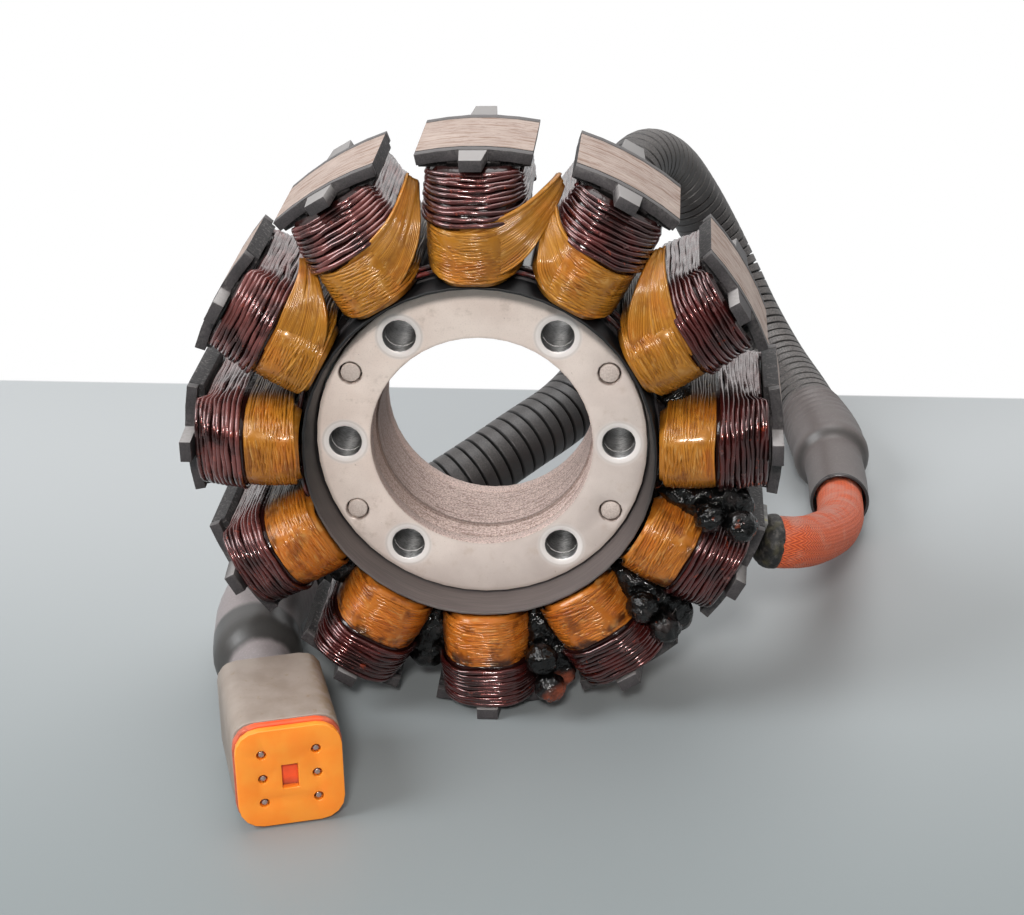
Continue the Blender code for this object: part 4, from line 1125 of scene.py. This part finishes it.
# %% Inner windings
BOTH_LAYERS = {
    "Half width": BAND_HEAD_WIDTH / 2 * MM, "Head width share": 1.0, "Foot reach": END_TURN_REACH * MM,
    "Head reach": END_TURN_REACH * MM, "Foot": (YOKE_RADIUS + 0.6) * MM, "Head": (BAND_TO_COIL + 0.1) * MM,
    "Drop": STRAND_DROP * MM, "Rise": 0.0, "Early climb": 0.0, "Bulge": 0.3 * MM, "Lap change": 650.0,
    "Sides": 5,
}
BAND_LAYERS = [
    {**BOTH_LAYERS, "Turns": 19.0, "Points": 800, "Wire radius": 0.31 * MM, "Lean": 0.1,
     "Wander": 0.7 * MM, "Lift": 0.22 * MM},
    {**BOTH_LAYERS, "Turns": 15.0, "Points": 620, "Wire radius": 0.33 * MM, "Lean": -0.13,
     "Wander": 0.85 * MM, "Lift": 0.26 * MM},
]
# Pole, where its fan starts across the pole, its tip in the pole's own frame, and the tip's width (mm)
FANS = (
    (1, -5.5, (16.3, -12.6, 52.8), 2.6), (12, -4.0, (16.6, -12.5, 51.8), 2.2),
    (2, 6.5, (-11.6, -14.0, 48.8), 2.4), (3, 6.0, (-16.6, -13.0, 50.0), 2.0),
    (11, -5.0, (16.0, -13.5, 46.8), 2.2),
)


def fan_mesh(number, start, tip, tip_width, count=30):
    """Strands that cross a band's front, sweep up beside the coil and draw together at the next slot.

    start is where across the pole they begin, tip where they end, in the pole's own frame (mm)."""
    vertices, faces = [], []
    steps, sides = 26, 6
    way = 1 if tip[0] > 0 else -1
    strands = [(i / (count - 1), 0.34, 0.0) for i in range(count)]
    strands += [((i + 0.5) / (count - 1), 0.5, -0.5) for i in range(0, count - 1, 2)]
    above = Vector((way * 0.35, -1, 0.25))
    for share, radius, depth in strands:
        low = share * share * (3 - 2 * share)
        root = Vector((start * (1 - 0.75 * share ** 3), -19.4 + 0.4 * share ** 3, 45.2 - 9.2 * share))
        pull = root + Vector((way * (8.5 + 2.6 * share), -3.5, 0.3 - 0.9 * share))
        end = Vector(tip) + Vector((way * 0.3 * low, 0.5 * (share - 0.5), (0.5 - share) * tip_width))
        turn = end + Vector((-way * (2.6 - 0.6 * share), -5.6 + 0.8 * share, -3.4 - 1.6 * share))
        faces += tube_faces(steps + 1, sides, len(vertices))
        for t in shares(steps):
            point = root * (1 - t) ** 3 + pull * 3 * t * (1 - t) ** 2
            point += turn * 3 * t * t * (1 - t) + end * t ** 3
            ahead = (pull - root) * (1 - t) ** 2 + (turn - pull) * 2 * t * (1 - t) + (end - turn) * t * t
            ahead.normalize()
            up = (above - ahead * above.dot(ahead)).normalized()
            beside = up.cross(ahead)
            wave = noise.noise(Vector((t * 2.4, share * 5.0, number * 2.3)))
            lump = noise.noise(Vector((t * 5.0, share * 3.0, number * 5.1)))
            point += beside * wave * 0.7 + up * (depth + 0.3 * lump)
            thick = radius * (1 - 0.25 * t)
            vertices += [(point + (beside * cos(a) + up * sin(a)) * thick) * MM for a in angles(sides)]
    mesh = mesh_from(vertices, faces)
    per_strand = (steps + 1) * sides
    laps = [number * 7.0 + (i // per_strand) * 0.83 for i in range(len(vertices))]
    mesh.attributes.new("lap", "FLOAT", "POINT").data.foreach_set("value", laps)
    mesh.transform(pole_turn(number))
    return mesh


amber = strand_finish()
band_rings = [(height, half_width - 0.3, reach - 0.3)
              for height, half_width, reach in map(band_ring, shares(10))]
bands = wound_piece("amber_bands", winding_recipe("strand_winding", amber), lambda number: band_rings, amber,
                    "strand_band", lambda number: BAND_LAYERS, drop=STRAND_DROP)
add_piece("strand_fans", join_meshes([fan_mesh(*fan) for fan in FANS]), amber)
print("bands", len(bands.data.polygons), "faces")

# %% [markdown]
# Epoxy seals the lead joints. It set in glossy, wrinkled drops, so each joint is a ball from the solid model,
# made finer and pushed about by noise, in a nearly black material with a sharp shine. The last one is
# reddish.

# %% Epoxy finish and lead joints
LAST_JOINT = (14.8, -53.0)


def epoxy_finish():
    look = Finish("black_epoxy", Specular_IOR_Level=0.42)
    cloud = look.noise(0.3, 2.0).span(0.55, 0.8)
    blush = look.noise_at(look.vector("ADD", look.place, (3.0, 7.0, 5.0)), 0.35, 3.0, 0.6)
    bare = (1 - look.away(*LAST_JOINT).span(2.2, 4.2)) * (0.35 + blush.span(0.4, 0.6) * 0.6)
    look.set(Roughness=0.045 + cloud * 0.12)
    look.colour(
        look.mix((0.002, 0.002, 0.002), (0.03, 0.024, 0.023), cloud),
        ((0.26, 0.055, 0.022), bare.at_least(blush.span(0.66, 0.76) * 0.6)))
    look.relief(look.noise(0.5, 3.0, 0.55, 1.2), 0.55)
    return look


def splice_piece(finish):
    nodes = [f"lead_splice_{n}" for n in range(1, 7)]
    bm = solids(nodes)
    bmesh.ops.subdivide_edges(bm, edges=bm.edges, cuts=3, use_grid_fill=True)
    bmesh.ops.smooth_vert(bm, verts=bm.verts, factor=0.5, use_axis_x=True, use_axis_y=True, use_axis_z=True)
    bm.normal_update()
    for vert in bm.verts:
        spot = vert.co / MM
        crease = 0.25 - abs(noise.noise(spot * 0.55)) * 1.6
        vert.co += vert.normal * (0.28 + 0.42 * crease + 0.12 * noise.fractal(spot * 0.9, 1.0, 2.0, 2)) * MM
    mesh = mesh_of(bm)
    mesh.materials.clear()
    return add_piece("epoxy_joints", mesh, finish, nodes, smooth=80)


epoxy = epoxy_finish()
print("joints", len(splice_piece(epoxy).data.polygons), "faces")

# %% [markdown]
# The varnish that sealed the lead joints also ran between the windings beside them and set there in glossy
# black pools and ropes. Each one is a tube along the slot, wide enough to sink into both windings, and noise
# swells and pinches it.

# %% Varnish in the slots
# Slot as pole numbers, radii where it starts and ends, how far forward it lies at each, and how thick (mm)
POOLS = (
    (4.5, 35.2, 55.0, -14.0, -12.6, 3.6), (5.5, 35.2, 57.0, -13.8, -12.4, 3.8),
    (6.5, 35.2, 57.0, -13.8, -11.6, 3.8), (7.5, 35.3, 54.0, -10.5, -8.5, 3.6),
    (3.5, 35.4, 42.0, -12.0, -10.0, 2.4), (8.5, 35.3, 45.0, -10.5, -8.5, 3.0),
)
BAND_HALF, COIL_HALF = 8.3, 9.6
AXIS_MIDDLE, FRONT_TO_BACK = Vector((0, 0, AXIS_HEIGHT / MM)), Vector((0, 1, 0))


def spoke(angle):
    """Outwards, and round the axis, at an angle clockwise from the top."""
    return Vector((sin(angle), 0, cos(angle))), Vector((cos(angle), 0, -sin(angle)))


def slot_half_width(radius):
    """Half the gap between the windings at a distance from the middle, a little behind their fronts."""
    winding = BAND_HALF if radius < BAND_TO_COIL else COIL_HALF
    return max(radius * sin(POLE_PITCH / 2) - winding * cos(POLE_PITCH / 2), 0.8) + 1.1


def pool_mesh(slot, inner, outer, start_y, end_y, thick):
    out, side = spoke((slot - 1) * POLE_PITCH)
    steps, sides = 44, 26
    vertices = []
    for share in shares(steps):
        radius = inner + (outer - inner) * share
        taper = min(1.0, sin(pi * min(max(share, 0.004), 0.996)) ** 0.5 * 1.05)
        place = AXIS_MIDDLE + out * radius + FRONT_TO_BACK * (start_y + (end_y - start_y) * share)
        wide = slot_half_width(radius) * taper
        for around in angles(sides):
            spot = place + side * cos(around) * wide + FRONT_TO_BACK * (sin(around) * thick * taper)
            crease = 0.3 - abs(noise.noise(spot * 0.33)) * 1.7
            swell = 1.2 * crease + 0.35 * noise.fractal(spot * 0.6, 1.0, 2.0, 2)
            spot += (side * cos(around) + FRONT_TO_BACK * sin(around)) * swell * taper
            vertices.append(spot * MM)
    return mesh_from(vertices, tube_faces(steps + 1, sides))


pools = join_meshes([pool_mesh(*pool) for pool in POOLS])
add_piece("varnish_pools", pools, epoxy)
print("varnish", len(pools.polygons), "faces")

# %% [markdown]
# Dark red wires link the windings. They run round the core's ring just outside the collar and show between
# the feet of the bands.

# %% Link wires
# Start and end angle, distance from the middle, place along the axis (mm), seen clockwise from the top
LINKS = ((-24, 66, 36.0, -13.6), (-30, 30, 36.9, -12.7), (28, 64, 37.1, -12.2), (232, 262, 36.4, -13.4),
         (262, 290, 36.2, -13.3))


def link_mesh(start, end, radius, along):
    vertices, sides, thick = [], 8, 0.48
    count = max(6, round(abs(end - start) / 1.5))
    for angle in (radians(start + (end - start) * share) for share in shares(count)):
        out, _ = spoke(angle)
        drift = noise.noise(Vector((angle * 5.0, radius, along)))
        place = AXIS_MIDDLE + out * (radius + 0.35 * drift) + FRONT_TO_BACK * (along - 0.8 * drift)
        vertices += [(place + (out * cos(a) + FRONT_TO_BACK * sin(a)) * thick) * MM for a in angles(sides)]
    return mesh_from(vertices, tube_faces(count + 1, sides))


def link_finish():
    look = Finish("link_wire", Coat_Weight=1.0, Coat_Roughness=0.08)
    cloud = look.noise(0.5, 3.0)
    look.colour(look.mix((0.02, 0.004, 0.003), (0.17, 0.016, 0.01), cloud.span(0.45, 0.68)))
    look.set(Roughness=0.3 + cloud * 0.1)
    look.relief(cloud, 0.1, 0.6)
    return look


links = join_meshes([link_mesh(*link) for link in LINKS])
add_piece("link_wires", links, link_finish())
print("links", len(links.polygons), "faces")

# %% [markdown]
# The clamp is a small grey clip at pole 5. It keeps its solid's shape, with bevelled edges. A grimy cuff
# hides the sleeve's end in it.

# %% Clamp
def grey_finish(name, roughness, noises, base, stain, relief, shift=(0.0, 0.0, 0.0)):
    """Two greys in clouds, under a stain; each pattern is (noise settings, where it starts and ends)."""
    look = Finish(name, Roughness=roughness)
    (crust, *crust_span), (patch, *patch_span) = noises
    crust = look.noise(*crust)
    patch = look.noise_at(look.vector("ADD", look.place, shift), *patch)
    colour, share = stain
    look.colour(look.mix(*base, crust.span(*crust_span)), (colour, patch.span(*patch_span) * share))
    look.relief(crust, *relief)
    return look


cuff_grime = grey_finish("cuff_grime", 0.55, (((0.9, 4.0, 0.7), 0.46, 0.74), ((0.35, 3.0), 0.5, 0.72)),
                         ((0.008, 0.008, 0.008), (0.085, 0.078, 0.07)), ((0.105, 0.092, 0.04), 0.45),
                         (0.25, 0.8), (9.0, 3.0, 1.0))
clamp_grey = grey_finish("clamp_grey", 0.5, (((0.4, 3.0), 0.3, 0.7), ((0.7, 2.0), 0.55, 0.7)),
                         ((0.1, 0.1, 0.1), (0.24, 0.23, 0.22)), ((0.3, 0.28, 0.08), 0.7), (0.1, 0.7))
CUFF = ((2.6, 2.0), (2.65, 3.4), (2.9, 4.3), (3.4, 4.85), (4.0, 5.2), (4.7, 5.45), (5.3, 5.55), (5.8, 5.55),
        (6.1, 5.5), (6.3, 5.2))


def cuff_radius(length, angle, radius):
    return radius + 0.24 * noise.noise(Vector((cos(angle) * 3.6, sin(angle) * 3.6, length * 0.6)))


solid_piece("lead_clip", ["harness_clamp"], clamp_grey, 0.2, 35)
clip, ahead, _, _ = route.read(0.0)
cuff_line = Route([clip + ahead * i for i in range(-5, 5)])
cuff = tube_mesh(CUFF, 60, cuff_radius, cuff_line)
add_piece("sleeve_cuff", cuff, cuff_grime, smooth=50)
print("cuff", len(cuff.polygons), "faces")

# %% [markdown]
# The connector is a grey moulded body with a red-orange lip seal and a bright orange contact lock. The solids
# already have the right shape. Bevels give the moulded edges, and the finishes add scuffs and brown stains.

# %% Connector finishes
PLUG_HEADING, TO_PLUG_FACE = radians(16.6), (33.2, 59.5, 43.05)


def facing_plug(look):
    """Place measured from the middle of the connector's face and turned with it."""
    moved = look.node("ShaderNodeMapping", {"Vector": look.place, "Location": TO_PLUG_FACE})
    return look.split(look.node("ShaderNodeVectorRotate", {"Vector": moved, "Angle": -PLUG_HEADING},
                                rotation_type="Z_AXIS"))


def housing_finish():
    look = Finish("housing_grey", Roughness=0.45)
    cloud, scuff = look.noise(0.13, 4.0, 0.6), look.noise(0.6, 4.0, 0.7)
    stain = facing_plug(look)[0].span(6.0, 9.2) * look.noise(0.45, 3.0).span(0.38, 0.6)
    look.set(Roughness=0.4 + cloud * 0.15)
    look.colour(
        look.mix((0.225, 0.18, 0.148), (0.3, 0.25, 0.214), cloud.span(0.3, 0.7)),
        ((0.19, 0.12, 0.045), stain * 0.65), ((0.2, 0.125, 0.055), scuff.span(0.6, 0.74) * 0.5),
        ((0.44, 0.39, 0.35), look.attribute("edge") * 0.3))
    look.relief(look.noise(2.6, 2.0) * 0.6 + scuff * 0.4, 0.03, 0.5)
    return look


def seal_finish():
    """Clean and bright behind the window, and dulled by dirt where the lip shows round the face."""
    look = Finish("seal_red", Roughness=0.45)
    beside, _, z = facing_plug(look)
    out = abs(beside).at_least(abs(z))
    lighter_tone = look.mix((0.78, 0.085, 0.02), (0.94, 0.13, 0.034), look.noise(0.2, 3.0).span(0.3, 0.7))
    darker_tone = look.mix((0.4, 0.075, 0.035), (0.62, 0.13, 0.065), look.noise(0.5, 3.0).span(0.3, 0.7))
    look.colour(look.mix(lighter_tone, darker_tone, out.span(6.0, 7.5)))
    return look


def wedge_finish():
    look = Finish("wedge_orange")
    fine = look.noise(2.2, 2.0)
    cloud = look.noise(0.2, 3.0).span(0.3, 0.7)
    look.colour(look.mix((1.0, 0.268, 0.018), (1.0, 0.325, 0.03), cloud))
    look.set(Roughness=0.3 + fine * 0.1)
    look.relief(fine, 0.02, 0.4)
    return look


# %% Connector
contact_metal = Finish("contact_metal", Base_Color=(0.55, 0.42, 0.38), Metallic=0.9, Roughness=0.28)
contacts = [f"connector_contact_{n}" for n in range(1, 7)]
plug = [
    solid_piece("housing_shell", ["connector_housing"], housing_finish(), 0.5, 35, 3),
    solid_piece("lip_seal", ["connector_seal"], seal_finish(), 0.5, 40, 3),
    solid_piece("contact_lock", ["connector_wedge"], wedge_finish(), 0.35, 40, 3),
    solid_piece("contacts", contacts, contact_metal, 0.15, 40),
]
print("connector", [piece.name for piece in plug])
